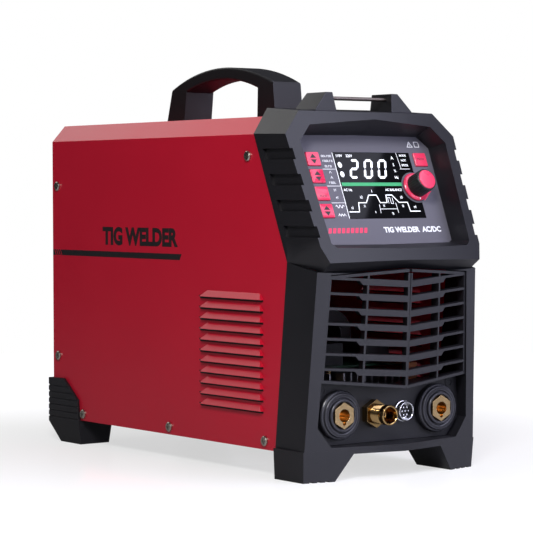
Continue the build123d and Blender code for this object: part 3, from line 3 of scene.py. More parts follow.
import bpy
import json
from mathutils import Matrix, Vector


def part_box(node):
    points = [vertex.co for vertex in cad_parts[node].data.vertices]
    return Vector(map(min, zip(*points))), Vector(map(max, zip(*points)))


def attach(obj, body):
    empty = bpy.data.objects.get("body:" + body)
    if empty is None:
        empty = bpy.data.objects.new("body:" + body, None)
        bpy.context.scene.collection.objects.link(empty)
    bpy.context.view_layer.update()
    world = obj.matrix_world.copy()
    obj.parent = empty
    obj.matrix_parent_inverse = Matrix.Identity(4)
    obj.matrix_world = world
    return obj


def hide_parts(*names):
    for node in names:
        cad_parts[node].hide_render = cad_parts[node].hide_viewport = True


bl_info = {
    "name": "TIG Welding Machine",
    "version": (1, 0, 0),
    "blender": (4, 5, 0),
    "location": "View3D > Sidebar > Welder",
    "description": "Finishes, printed graphics and fine detail of a portable welding machine",
    "category": "Object",
}

import json
from math import cos, pi, radians, sin, tau

import bmesh
import bpy
from bpy.props import FloatProperty, FloatVectorProperty, IntProperty, PointerProperty
from mathutils import Matrix, Vector

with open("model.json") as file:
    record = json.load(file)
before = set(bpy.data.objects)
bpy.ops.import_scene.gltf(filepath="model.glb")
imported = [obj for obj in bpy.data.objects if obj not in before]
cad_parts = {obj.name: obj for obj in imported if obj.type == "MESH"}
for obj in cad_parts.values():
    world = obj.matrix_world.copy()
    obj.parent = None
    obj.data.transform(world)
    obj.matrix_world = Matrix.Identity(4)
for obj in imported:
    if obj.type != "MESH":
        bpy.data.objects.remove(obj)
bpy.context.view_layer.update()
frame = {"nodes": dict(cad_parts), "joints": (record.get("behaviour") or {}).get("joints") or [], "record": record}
NODES = frame["nodes"]
JOINTS = {joint["name"]: joint for joint in frame["joints"]}
BODY_OF = {node: body for body, nodes in frame["record"]["behaviour"]["bodies"].items() for node in nodes}
MM = 0.001
X_AXIS, Y_AXIS, Z_AXIS = Vector((1, 0, 0)), Vector((0, 1, 0)), Vector((0, 0, 1))


# ---------------------------------------------------------------- places worked out from the frame
def placed(origin, across, up):
    """Matrix of a drawing plane: its X and Y run across and up, its Z points out of it."""
    out = across.cross(up)
    matrix = Matrix((across, up, out)).transposed().to_4x4()
    matrix.translation = origin
    return matrix


def panel_place():
    """Drawing plane on the control panel: X across the machine, Y up the slope from the knob."""
    turn = JOINTS["knob_turn"]
    out = Vector(turn["axis"]).normalized()
    spot = Vector(turn["pos_m"])
    return placed(Vector((0, spot.y, spot.z)), X_AXIS, out.cross(X_AXIS))


PANEL = panel_place()
KNOB_X = JOINTS["knob_turn"]["pos_m"][0]
COVER_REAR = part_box("outer_cover")[1].y
PLATE_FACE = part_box("connector_plate")[0].y
ABOVE_LOUVRES = 0.25    # height over which the cover's sides are plain
COVER_SIDE = -min(v.co.x for v in NODES["outer_cover"].data.vertices if v.co.z > ABOVE_LOUVRES)
MERGE = 2e-6            # distance under which a CAD mesh's corners are one
FILM = 0.00006          # thickness of the stripe on the cover


# ---------------------------------------------------------------- shader writing
class Value:
    """A shader socket that takes part in Python arithmetic."""

    def __init__(self, nodes, socket):
        self.nodes, self.socket = nodes, socket

    def math(self, operation, other, swapped=False):
        first, second = (other, self) if swapped else (self, other)
        node = self.nodes.add("ShaderNodeMath", {"operation": operation}, {0: first, 1: second})
        return Value(self.nodes, node.outputs[0])

    def __add__(self, other):
        return self.math("ADD", other)

    def __sub__(self, other):
        return self.math("SUBTRACT", other)

    def __rsub__(self, other):
        return self.math("SUBTRACT", other, swapped=True)

    def __mul__(self, other):
        return self.math("MULTIPLY", other)

    __radd__ = __add__
    __rmul__ = __mul__


class Nodes:
    """The node tree of a material or of the world."""

    def __init__(self, tree):
        self.tree = tree

    def add(self, kind, settings=None, sockets=None):
        """A node of this kind: settings first, then the values or links of its sockets."""
        node = self.tree.nodes.new(kind)
        for key, value in (settings or {}).items():
            setattr(node, key, value)
        for key, value in (sockets or {}).items():
            self.feed(node.inputs[key], value)
        return node

    def feed(self, socket, value):
        if isinstance(value, Value):
            self.tree.links.new(value.socket, socket)
        elif isinstance(value, bpy.types.NodeSocket):
            self.tree.links.new(value, socket)
        else:
            socket.default_value = value

    def mix(self, factor, first, second):
        node = self.add("ShaderNodeMix", {"data_type": "RGBA"}, {0: factor, 6: first, 7: second})
        return node.outputs[2]


class Finish(Nodes):
    """A material under construction round one Principled shader."""

    def __init__(self, name, **fixed):
        self.material = bpy.data.materials.new(name)
        self.material.use_nodes = True
        super().__init__(self.material.node_tree)
        self.shader = self.tree.nodes["Principled BSDF"]
        self.place = self.add("ShaderNodeTexCoord").outputs["Object"]
        for socket, value in fixed.items():
            self.shader.inputs[socket.replace("_", " ")].default_value = value

    def axes(self):
        node = self.add("ShaderNodeSeparateXYZ", None, {0: self.place})
        return [Value(self, node.outputs[i]) for i in range(3)]

    def noise(self, scale, detail=2.0, stretch=None):
        """Noise from 0 to 1, with this many features in a metre."""
        where = self.place
        if stretch:
            where = self.add("ShaderNodeMapping", None, {"Vector": where, "Scale": stretch}).outputs[0]
        node = self.add("ShaderNodeTexNoise", None, {"Vector": where, "Scale": scale, "Detail": detail})
        return Value(self, node.outputs["Fac"])

    def rounded(self):
        """1 on the faces that soften has rounded, 0 elsewhere."""
        return Value(self, self.add("ShaderNodeAttribute", {"attribute_name": "rounded"}).outputs["Fac"])

    def bump(self, height, depth, strength):
        return self.add("ShaderNodeBump", None,
                        {"Height": height, "Distance": depth, "Strength": strength}).outputs[0]

    def link(self, **sockets):
        for socket, value in sockets.items():
            self.feed(self.shader.inputs[socket.replace("_", " ")], value)
        return self.material


def shade(color, factor):
    """A colour made lighter or darker, with full alpha."""
    return (*[min(1.0, channel * factor) for channel in color[:3]], 1.0)


def moulded(name, color, grain=0.00005, roughness=0.45):
    """Injection-moulded plastic: fine spark-eroded grain, slight marbling, and a painted highlight that lightens
    the rounded edges unevenly.
    """
    finish = Finish(name, IOR=1.47)
    fine, broad = finish.noise(1500.0, 3.0), finish.noise(24.0, 4.0)
    body = finish.mix(broad, shade(color, 0.9), shade(color, 1.12))
    # Painted highlight: the rounded edges are mixed towards a colour six times lighter, unevenly by noise.
    edge_highlight = finish.rounded() * (finish.noise(90.0) * 0.5 + 0.25)
    tone = finish.mix(edge_highlight, body, shade(color, 6.0))
    return finish.link(
        Base_Color=tone,
        Roughness=fine * 0.08 + (broad * 0.08 + (roughness - 0.08)),
        Normal=finish.bump(fine, grain, 0.55),
    )


def gloss_plastic(name, color, roughness=0.28, glow=0.0):
    """Smooth moulded plastic with a very light texture; glow sets a painted glow, an emission in the plastic's own
    colour.
    """
    finish = Finish(name, IOR=1.5, Coat_Weight=0.25, Coat_Roughness=0.12, Emission_Strength=glow)
    finish.shader.inputs["Emission Color"].default_value = shade(color, 1.0)
    fine, broad = finish.noise(1100.0, 2.0), finish.noise(45.0, 3.0)
    return finish.link(
        Base_Color=finish.mix(broad, shade(color, 0.92), shade(color, 1.08)),
        Roughness=broad * 0.1 + (roughness - 0.05),
        Normal=finish.bump(fine, 0.00002, 0.4),
    )


def turned_metal(name, color, roughness=0.24, tarnish=0.3):
    """Machined metal with tool marks, handling marks and a thin tarnish."""
    finish = Finish(name, Metallic=1.0)
    marks, broad = finish.noise(700.0, 4.0), finish.noise(120.0, 5.0)
    dull = shade((color[0] * 0.62, color[1] * 0.5, color[2] * 0.38), 1.0)
    return finish.link(
        Base_Color=finish.mix(broad * tarnish, shade(color, 1.0), dull),
        Roughness=broad * 0.16 + (marks * 0.08 + (roughness - 0.1)),
        Normal=finish.bump(marks, 0.00003, 0.35),
    )


def brushed_sheet(name, color, roughness=0.38):
    """Plated or bare sheet metal with a rolled grain along Y."""
    finish = Finish(name, Metallic=1.0)
    grain, broad = finish.noise(60.0, 4.0, (30.0, 2.0, 30.0)), finish.noise(18.0, 3.0)
    return finish.link(
        Base_Color=finish.mix(broad, shade(color, 0.86), shade(color, 1.04)),
        Roughness=grain * 0.18 + (roughness - 0.09),
        Normal=finish.bump(grain, 0.00002, 0.4),
    )


def powder_coat(name, color, roughness=0.36, peel=0.00006):
    """Sprayed and baked coat: shallow orange peel over the sheet, slightly uneven gloss, and a painted highlight
    on the rounded bends.
    """
    finish = Finish(name, IOR=1.5, Coat_Weight=0.04, Coat_Roughness=0.2)
    peel_noise, broad = finish.noise(620.0, 2.0), finish.noise(9.0, 3.0)
    # Painted highlight: the rounded bends are mixed a fifth of the way towards a colour 1.8 times lighter.
    edge = finish.rounded()
    body = finish.mix(broad, shade(color, 0.94), shade(color, 1.06))
    return finish.link(
        Base_Color=finish.mix(edge * 0.2, body, shade(color, 1.8)),
        Roughness=broad * 0.08 + (peel_noise * 0.06 + (roughness - 0.07)),
        Normal=finish.bump(peel_noise, peel, 0.5),
    )


def ink(name, color, roughness=0.4, glow=0.0):
    """Screen-printed ink or a lit display segment, with an uneven film."""
    finish = Finish(name, Emission_Strength=glow)
    finish.shader.inputs["Emission Color"].default_value = shade(color, 1.0)
    film = finish.noise(900.0, 2.0)
    return finish.link(
        Base_Color=finish.mix(film, shade(color, 0.93), shade(color, 1.04)),
        Roughness=film * 0.1 + (roughness - 0.05),
    )


# ---------------------------------------------------------------- mesh making
def copy_of(node):
    """A CAD node's solid with its loose triangles merged into flat faces."""
    bm = bmesh.new()
    bm.from_mesh(NODES[node].data)
    bmesh.ops.remove_doubles(bm, verts=bm.verts, dist=MERGE)
    bmesh.ops.dissolve_limit(bm, angle_limit=radians(0.6), verts=bm.verts, edges=bm.edges, delimit={"NORMAL"})
    return bm


def soften(bm, width, segments=2, angle=28.0, shortest=0.0, chosen=None):
    """Rounds the sharp edges, and marks the rounded faces for the finish."""
    mark = bm.faces.layers.float.get("rounded") or bm.faces.layers.float.new("rounded")
    edges = [
        e for e in bm.edges
        if len(e.link_faces) == 2 and e.calc_face_angle(0.0) > radians(angle) and e.calc_length() > shortest
        and (chosen is None or chosen(e))
    ]
    made = bmesh.ops.bevel(
        bm, geom=edges, offset=width, offset_type="OFFSET", segments=segments, profile=0.5,
        affect="EDGES", clamp_overlap=True, loop_slide=True, material=-1,
    )
    for face in made["faces"]:
        face[mark] = 1.0
    return bm


def piece(name, bm, finish, body="root", replaces=(), smooth=32.0, even=True):
    """Turns a bmesh into a finished object that rides on its body."""
    mesh = bpy.data.meshes.new(name)
    bm.to_mesh(mesh)
    bm.free()
    mesh.polygons.foreach_set("use_smooth", [True] * len(mesh.polygons))
    mesh.set_sharp_from_angle(angle=radians(smooth))
    mesh.materials.append(finish)
    thing = bpy.data.objects.new(name, mesh)
    bpy.context.scene.collection.objects.link(thing)
    if even:
        normals = thing.modifiers.new("even_shading", "WEIGHTED_NORMAL")
        normals.keep_sharp = True
    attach(thing, body)
    if replaces:
        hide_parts(*replaces)
    return thing


def stand_in(node, finish, width, **options):
    """A softened copy of a CAD node, shown in its place."""
    bm = copy_of(node)
    if width:
        soften(bm, width, **options)
    return piece(node + "_shell", bm, finish, BODY_OF[node], [node])


def prism(bm, outline, depth, place):
    """A flat plate with this outline on a drawing plane, raised by its depth."""
    verts = [bm.verts.new(place @ Vector((x * MM, y * MM, 0))) for x, y in outline]
    face = bm.faces.new(verts)
    face.normal_update()
    out = (place.to_3x3() @ Z_AXIS).normalized()
    if face.normal.dot(out) > 0:
        face.normal_flip()
    raised = bmesh.ops.extrude_face_region(bm, geom=[face])["geom"]
    moved = [v for v in raised if isinstance(v, bmesh.types.BMVert)]
    bmesh.ops.translate(bm, verts=moved, vec=out * depth)
    made = dict.fromkeys(f for v in verts + moved for f in v.link_faces)
    bmesh.ops.recalc_face_normals(bm, faces=list(made))


def stroke(bm, points, width, depth, place):
    """A line of constant width through these points, with mitred corners."""
    points = [Vector(p) for p in points]
    left, right = [], []
    for i, point in enumerate(points):
        before = (point - points[i - 1]).normalized() if i else None
        after = (points[i + 1] - point).normalized() if i + 1 < len(points) else None
        ahead = ((before or after) + (after or before)).normalized()
        side = Vector((-ahead.y, ahead.x))
        reach = width / 2 / max(0.4, side.dot(Vector((-(before or after).y, (before or after).x))))
        left.append(point + side * reach)
        right.append(point - side * reach)
    prism(bm, left + right[::-1], depth, place)


def lettering(name, text, size, spot, place, finish, body="root", bold=0.0):
    """Raised flat lettering on a drawing plane, as a mesh."""
    curve = bpy.data.curves.new(name, "FONT")
    curve.body = text
    curve.size = size * MM
    curve.extrude = 0.00004
    curve.offset = bold
    curve.align_x = "CENTER"
    curve.align_y = "CENTER"
    curve.resolution_u = 4
    source = bpy.data.objects.new(name + "_curve", curve)
    mesh = bpy.data.meshes.new_from_object(source)
    bm = bmesh.new()
    bm.from_mesh(mesh)
    bpy.data.objects.remove(source)
    bpy.data.meshes.remove(mesh)
    bmesh.ops.remove_doubles(bm, verts=bm.verts, dist=1e-6)
    moved = place @ Matrix.Translation(Vector((*spot, 0)) * MM)
    bmesh.ops.transform(bm, matrix=moved, verts=bm.verts)
    return piece(name, bm, finish, body, even=False)


def turned(profile, place, steps=64):
    """A solid of revolution about a drawing plane's Z, from (radius, height) points in millimetres."""
    bm = bmesh.new()
    verts = [bm.verts.new(Vector((radius, 0, height)) * MM) for radius, height in profile]
    edges = [bm.edges.new(pair) for pair in zip(verts, verts[1:])]
    bmesh.ops.spin(bm, geom=verts + edges, cent=(0, 0, 0), axis=Z_AXIS, angle=tau, steps=steps,
                   use_merge=True)
    bmesh.ops.remove_doubles(bm, verts=bm.verts, dist=1e-6)
    bmesh.ops.recalc_face_normals(bm, faces=bm.faces)
    bmesh.ops.transform(bm, matrix=place, verts=bm.verts)
    return bm


def wire_ring(bm, centre, axis, ring, wire, steps=96, sides=10):
    """A closed wire ring of this radius about an axis."""
    across = axis.orthogonal().normalized()
    made = bmesh.ops.create_circle(bm, segments=sides, radius=wire)["verts"]
    turn = Matrix((across, axis, across.cross(axis))).transposed().to_4x4()
    turn.translation = centre + across * ring
    bmesh.ops.transform(bm, matrix=turn, verts=made)
    edges = list(dict.fromkeys(e for v in made for e in v.link_edges))
    bmesh.ops.spin(bm, geom=made + edges, cent=centre, axis=axis, angle=tau, steps=steps, use_merge=True)


# ---------------------------------------------------------------- settings a user would change
class WelderColors(bpy.types.PropertyGroup):
    cover: FloatVectorProperty(name="Cover red", description="Powder coat of the sheet-metal cover",
                               subtype="COLOR", size=3, default=(0.54, 0.0055, 0.027))
    moulding: FloatVectorProperty(name="Moulding", description="Charcoal of the front and the corner feet",
                                  subtype="COLOR", size=3, default=(0.0075, 0.0073, 0.0098))
    handle: FloatVectorProperty(name="Handle", description="Black of the carry handle",
                                subtype="COLOR", size=3, default=(0.0045, 0.0045, 0.0060))
    overlay: FloatVectorProperty(name="Panel overlay", description="Grey of the control panel's overlay",
                                 subtype="COLOR", size=3, default=(0.026, 0.0255, 0.034))
    accent: FloatVectorProperty(name="Buttons", description="Pinkish red of the buttons and the knob cap",
                                subtype="COLOR", size=3, default=(0.72, 0.030, 0.095))
    brass: FloatVectorProperty(name="Brass", description="Contacts of the sockets and the torch connector",
                               subtype="COLOR", size=3, default=(0.86, 0.62, 0.32))


class WelderShapes(bpy.types.PropertyGroup):
    moulding_edge: FloatProperty(name="Moulding edge", description="Rounding of the front moulding's edges",
                                 default=0.0011, min=0.0, max=0.003, unit="LENGTH")
    sheet_edge: FloatProperty(name="Sheet bend", description="Rounding of the cover's bends",
                              default=0.0012, min=0.0, max=0.004, unit="LENGTH")
    print_depth: FloatProperty(name="Print thickness", description="Thickness of printed graphics",
                               default=0.00005, min=0.00001, max=0.0005, unit="LENGTH")
    digit_height: FloatProperty(name="Digit height", description="Height of the display's large digits",
                                default=0.0212, min=0.005, max=0.03, unit="LENGTH")
    fan_blades: IntProperty(name="Fan blades", description="Number of blades on the fan wheel",
                            default=7, min=3, max=13, subtype="UNSIGNED")


class WelderStage(bpy.types.PropertyGroup):
    distance: FloatProperty(name="Camera distance", description="From the camera to the machine's middle",
                            default=2.3, min=0.5, max=10.0, unit="LENGTH")
    lens: FloatProperty(name="Lens", description="Focal length of the camera",
                        default=145.8, min=20.0, max=400.0, unit="CAMERA")
    key: FloatProperty(name="Key light", description="Strength of all the softboxes",
                       default=1.0, min=0.0, max=20.0, subtype="FACTOR")
    floor: FloatVectorProperty(name="Floor", description="Colour of the pale floor", subtype="COLOR", size=3,
                               default=(0.50, 0.50, 0.50))


class WelderSettings(bpy.types.PropertyGroup):
    colors: PointerProperty(type=WelderColors)
    shapes: PointerProperty(type=WelderShapes)
    stage: PointerProperty(type=WelderStage)


def settings():
    return bpy.context.scene.welder


def material(name, maker, *values, **options):
    """A finish made once and shared by the pieces that use it."""
    return bpy.data.materials.get(name) or maker(name, *values, **options)


def charcoal():
    return material("charcoal_plastic", moulded, settings().colors.moulding, roughness=0.44)


def black_plastic():
    return material("black_plastic", moulded, (0.012, 0.012, 0.014), roughness=0.38, grain=0.00003)


def accent():
    # Painted glow: the buttons, the knob's cap and skirt and the switch rocker emit a faint light in their own
    # colour.
    return material("accent_plastic", gloss_plastic, settings().colors.accent, glow=0.06)


def copper():
    return material("enamelled_copper", turned_metal, (0.30, 0.12, 0.06), roughness=0.4)


def brass():
    return material("turned_brass", turned_metal, settings().colors.brass, roughness=0.2, tarnish=0.14)


def bright_steel():
    return material("nickel_plate", turned_metal, (0.74, 0.75, 0.77), roughness=0.2, tarnish=0.12)


def screw_steel():
    return material("screw_steel", turned_metal, (0.50, 0.47, 0.42), roughness=0.3, tarnish=0.35)


def dark_steel():
    return material("black_oxide_steel", turned_metal, (0.20, 0.175, 0.16), roughness=0.34, tarnish=0.5)


def white_ink():
    return material("white_ink", ink, (0.85, 0.86, 0.88))


# ---------------------------------------------------------------- operators
class WELDER_OT_cover(bpy.types.Operator):
    """Sheet-metal cover with its powder coat, side stripe, lettering and painted shade under the louvres"""
    bl_idname = "welder.cover"
    bl_label = "Cover"

    def execute(self, context):
        coat = powder_coat("red_powder_coat", settings().colors.cover)
        stand_in("outer_cover", coat, settings().shapes.sheet_edge, segments=3, shortest=6 * MM, angle=20)
        # Dark strips under the louvres: painted shade.
        self.louvre_shade_strips()
        black = material("stripe_black", ink, (0.008, 0.007, 0.008), roughness=0.5)
        for side, word in ((-1, "left"), (1, "right")):
            place = placed(Vector((side * COVER_SIDE, 0, 0)), Y_AXIS * side, Z_AXIS)
            low, high, rear, front = 210.8, 217.1, COVER_REAR / MM - 0.4, -11.5
            bm = bmesh.new()
            solid = [(rear - 16.5, high), (rear - 20.0, low), (front, low), (front - 3.8, high)]
            prism(bm, [(side * y, z) for y, z in solid], FILM, place)
            for index in range(4):
                start = rear - 4.2 * index
                slash = [(start, high), (start - 2.6, high), (start - 6.1, low), (start - 3.5, low)]
                if index == 0:
                    slash = [(rear, high), (rear - 2.6, high), (rear - 6.1, low), (rear, low)]
                prism(bm, [(side * y, z) for y, z in slash], FILM, place)
            piece("side_stripe_" + word, bm, black, even=False)
            lettering("side_lettering_" + word, "TIG WELDER", 25.0, (side * 66.0, 233.0), place, black,
                      bold=0.0013)
        return {"FINISHED"}

    def louvre_shade_strips(self):
        """Painted shade: a thin dark strip on the sheet under the lip of every louvre, where the slot under the
        hood lies in shadow.
        """
        dark = material("slot_shadow", ink, (0.0025, 0.0015, 0.0018), roughness=0.8)
        tips = [v.co for v in NODES["outer_cover"].data.vertices if v.co.x < -COVER_SIDE - 4.0 * MM]
        rows = sorted({round(tip.z, 4) for tip in tips})
        rows = [z for z in rows if not any(0 < z - other < 4 * MM for other in rows)]
        front, back = min(tip.y for tip in tips), max(tip.y for tip in tips)
        for sign, word in ((-1, "left"), (1, "right")):
            place = placed(Vector((sign * COVER_SIDE, 0, 0)), Y_AXIS * sign, Z_AXIS)
            bm = bmesh.new()
            for z in rows:
                high, low = z / MM + 1.0, z / MM - 2.3
                shade_band = [(front / MM + 1.0, high), (back / MM + 7.0, high),
                        (back / MM + 4.0, low), (front / MM + 0.5, low)]
                prism(bm, [(sign * y, height) for y, height in shade_band], 0.0001, place)
            piece("louvre_painted_shade_" + word, bm, dark, even=False)


class WELDER_OT_moulding(bpy.types.Operator):
    """Front moulding, grille, connector plate, strap brackets and corner feet"""
    bl_idname = "welder.moulding"
    bl_label = "Moulding"

    def execute(self, context):
        edge = settings().shapes.moulding_edge
        stand_in("front_bezel", charcoal(), edge, segments=2, shortest=1.2 * MM)
        stand_in("front_grille", charcoal(), edge * 0.45, segments=2, shortest=1.0 * MM)
        stand_in("connector_plate", charcoal(), edge * 0.4, shortest=1.0 * MM)
        stand_in("strap_brackets", charcoal(), edge, shortest=1.0 * MM)
        stand_in("rear_foot_left", charcoal(), edge * 0.8, shortest=0.8 * MM)
        stand_in("rear_foot_right", charcoal(), edge * 0.8, shortest=0.8 * MM)
        stand_in("strap_bar", dark_steel(), 0.0002)
        self.signs()
        return {"FINISHED"}

    def signs(self):
        """Raised ring with a plus or a minus above each output socket."""
        face = placed(Vector((0, PLATE_FACE, 0)), X_AXIS, Z_AXIS)
        for name, x, bars in (("plus_sign", -81.5, 2), ("minus_sign", 82.5, 1)):
            place = face @ Matrix.Translation(Vector((x, 88.0, 0)) * MM)
            bm = turned([(4.6, 0.0), (4.6, 0.7), (3.8, 0.7), (3.8, 0.0)], place, 40)
            stroke(bm, [(-2.4, 0), (2.4, 0)], 0.9, 0.0007, place)
            if bars == 2:
                stroke(bm, [(0, -2.4), (0, 2.4)], 0.9, 0.0007, place)
            piece(name, bm, charcoal())


class WELDER_OT_handle(bpy.types.Operator):
    """Carry handle with well-rounded edges"""
    bl_idname = "welder.handle"
    bl_label = "Handle"

    def execute(self, context):
        finish = material("handle_nylon", moulded, settings().colors.handle, roughness=0.5)
        stand_in("carry_handle", finish, 0.0022, segments=4, shortest=9 * MM, angle=40)
        return {"FINISHED"}


class WELDER_OT_panel(bpy.types.Operator):
    """Control panel overlay with its printed legends"""
    bl_idname = "welder.panel"
    bl_label = "Control panel"

    def execute(self, context):
        overlay = material("panel_overlay", moulded, settings().colors.overlay, roughness=0.4, grain=0.00002)
        stand_in("control_panel", overlay, 0.0002)
        depth = settings().shapes.print_depth
        bm = bmesh.new()
        for y in (20.0, 1.7, -16.4):
            stroke(bm, [(-54.0, y), (-37.6, y)], 0.55, depth, PANEL)
        for x, y, wide in ((-45.0, 34.2, 13.0), (-44.7, 28.9, 12.6), (-45.6, 23.1, 8.6), (-45.4, 5.3, 9.0)):
            self.dashes(bm, x, y, wide)
        for x, y in ((-45.4, 16.6), (-45.4, 10.9)):
            stroke(bm, [(x - 1.4, y - 1.2), (x, y + 1.2), (x + 1.4, y - 1.2)], 0.5, depth, PANEL)
        self.waves(bm)
        self.icons(bm)
        piece("panel_legends", bm, white_ink(), even=False)
        lettering("panel_title", "TIG WELDER  AC/DC", 7.9, (40.5, -46.2), PANEL, white_ink(),
                  bold=0.00032)
        for text, x, y in (("2T", -45.6, -2.8), ("4T", -45.2, -11.0)):
            lettering("legend_" + text.lower(), text, 3.2, (x, y), PANEL, white_ink(),
                      bold=0.00005)
        self.flash()
        return {"FINISHED"}

    def dashes(self, bm, x, y, wide):
        """A short row of strokes that stands for a caption."""
        depth = settings().shapes.print_depth
        count = max(3, round(wide / 2.1))
        step = wide / count
        for index in range(count):
            left = x - wide / 2 + index * step
            kind = (index * 5 + round(y)) % 4
            stroke(bm, [(left, y - 1.1), (left, y + 1.1)], 0.45, depth, PANEL)
            if kind != 0:
                stroke(bm, [(left, y + 0.9), (left + step * 0.6, y + 0.9)], 0.42, depth, PANEL)
            if kind != 1:
                stroke(bm, [(left, y - 0.9), (left + step * 0.6, y - 0.9)], 0.42, depth, PANEL)
            if kind > 1:
                stroke(bm, [(left + step * 0.6, y - 1.1), (left + step * 0.6, y + 1.1)], 0.42, depth, PANEL)

    def waves(self, bm):
        """Round and pointed wave marks beside the lowest button."""
        depth = settings().shapes.print_depth
        steps = 24
        round_wave = [(-49.9 + 10.4 * i / steps, -20.4 + 1.5 * sin(tau * 2.5 * i / steps))
                      for i in range(steps + 1)]
        stroke(bm, round_wave, 0.7, depth, PANEL)
        teeth = [(-49.6 + 1.6 * i, -30.6 + 2.4 * (i % 2)) for i in range(7)]
        stroke(bm, teeth, 0.7, depth, PANEL)

    def icons(self, bm):
        """Triangle and booklet outlines above the menu button."""
        depth = settings().shapes.print_depth
        triangle = [(67.0, 51.0), (63.6, 45.1), (70.4, 45.1), (67.0, 51.0)]
        stroke(bm, triangle, 0.7, depth, PANEL)
        stroke(bm, [(67.0, 49.2), (67.0, 46.2)], 0.7, depth, PANEL)
        booklet = [(73.6, 45.2), (79.4, 45.2), (79.4, 50.0), (78.4, 50.8), (73.6, 50.8), (73.6, 45.2)]
        stroke(bm, booklet, 0.7, depth, PANEL)

    def flash(self):
        """Red pointer beside the knob and a row of slanted bars below the display."""
        red = material("red_ink", ink, (0.75, 0.03, 0.10))
        depth = settings().shapes.print_depth
        bm = bmesh.new()
        prism(bm, [(67.0, -14.9), (79.6, -3.6), (66.0, -7.0)], depth, PANEL)
        for index in range(9):
            left = -66.5 + 5.6 * index
            slanted = [(left - 1.6, -48.8), (left + 2.2, -48.8), (left + 4.2, -43.4), (left + 0.4, -43.4)]
            prism(bm, slanted, depth, PANEL)
        piece("panel_red_marks", bm, red, even=False)


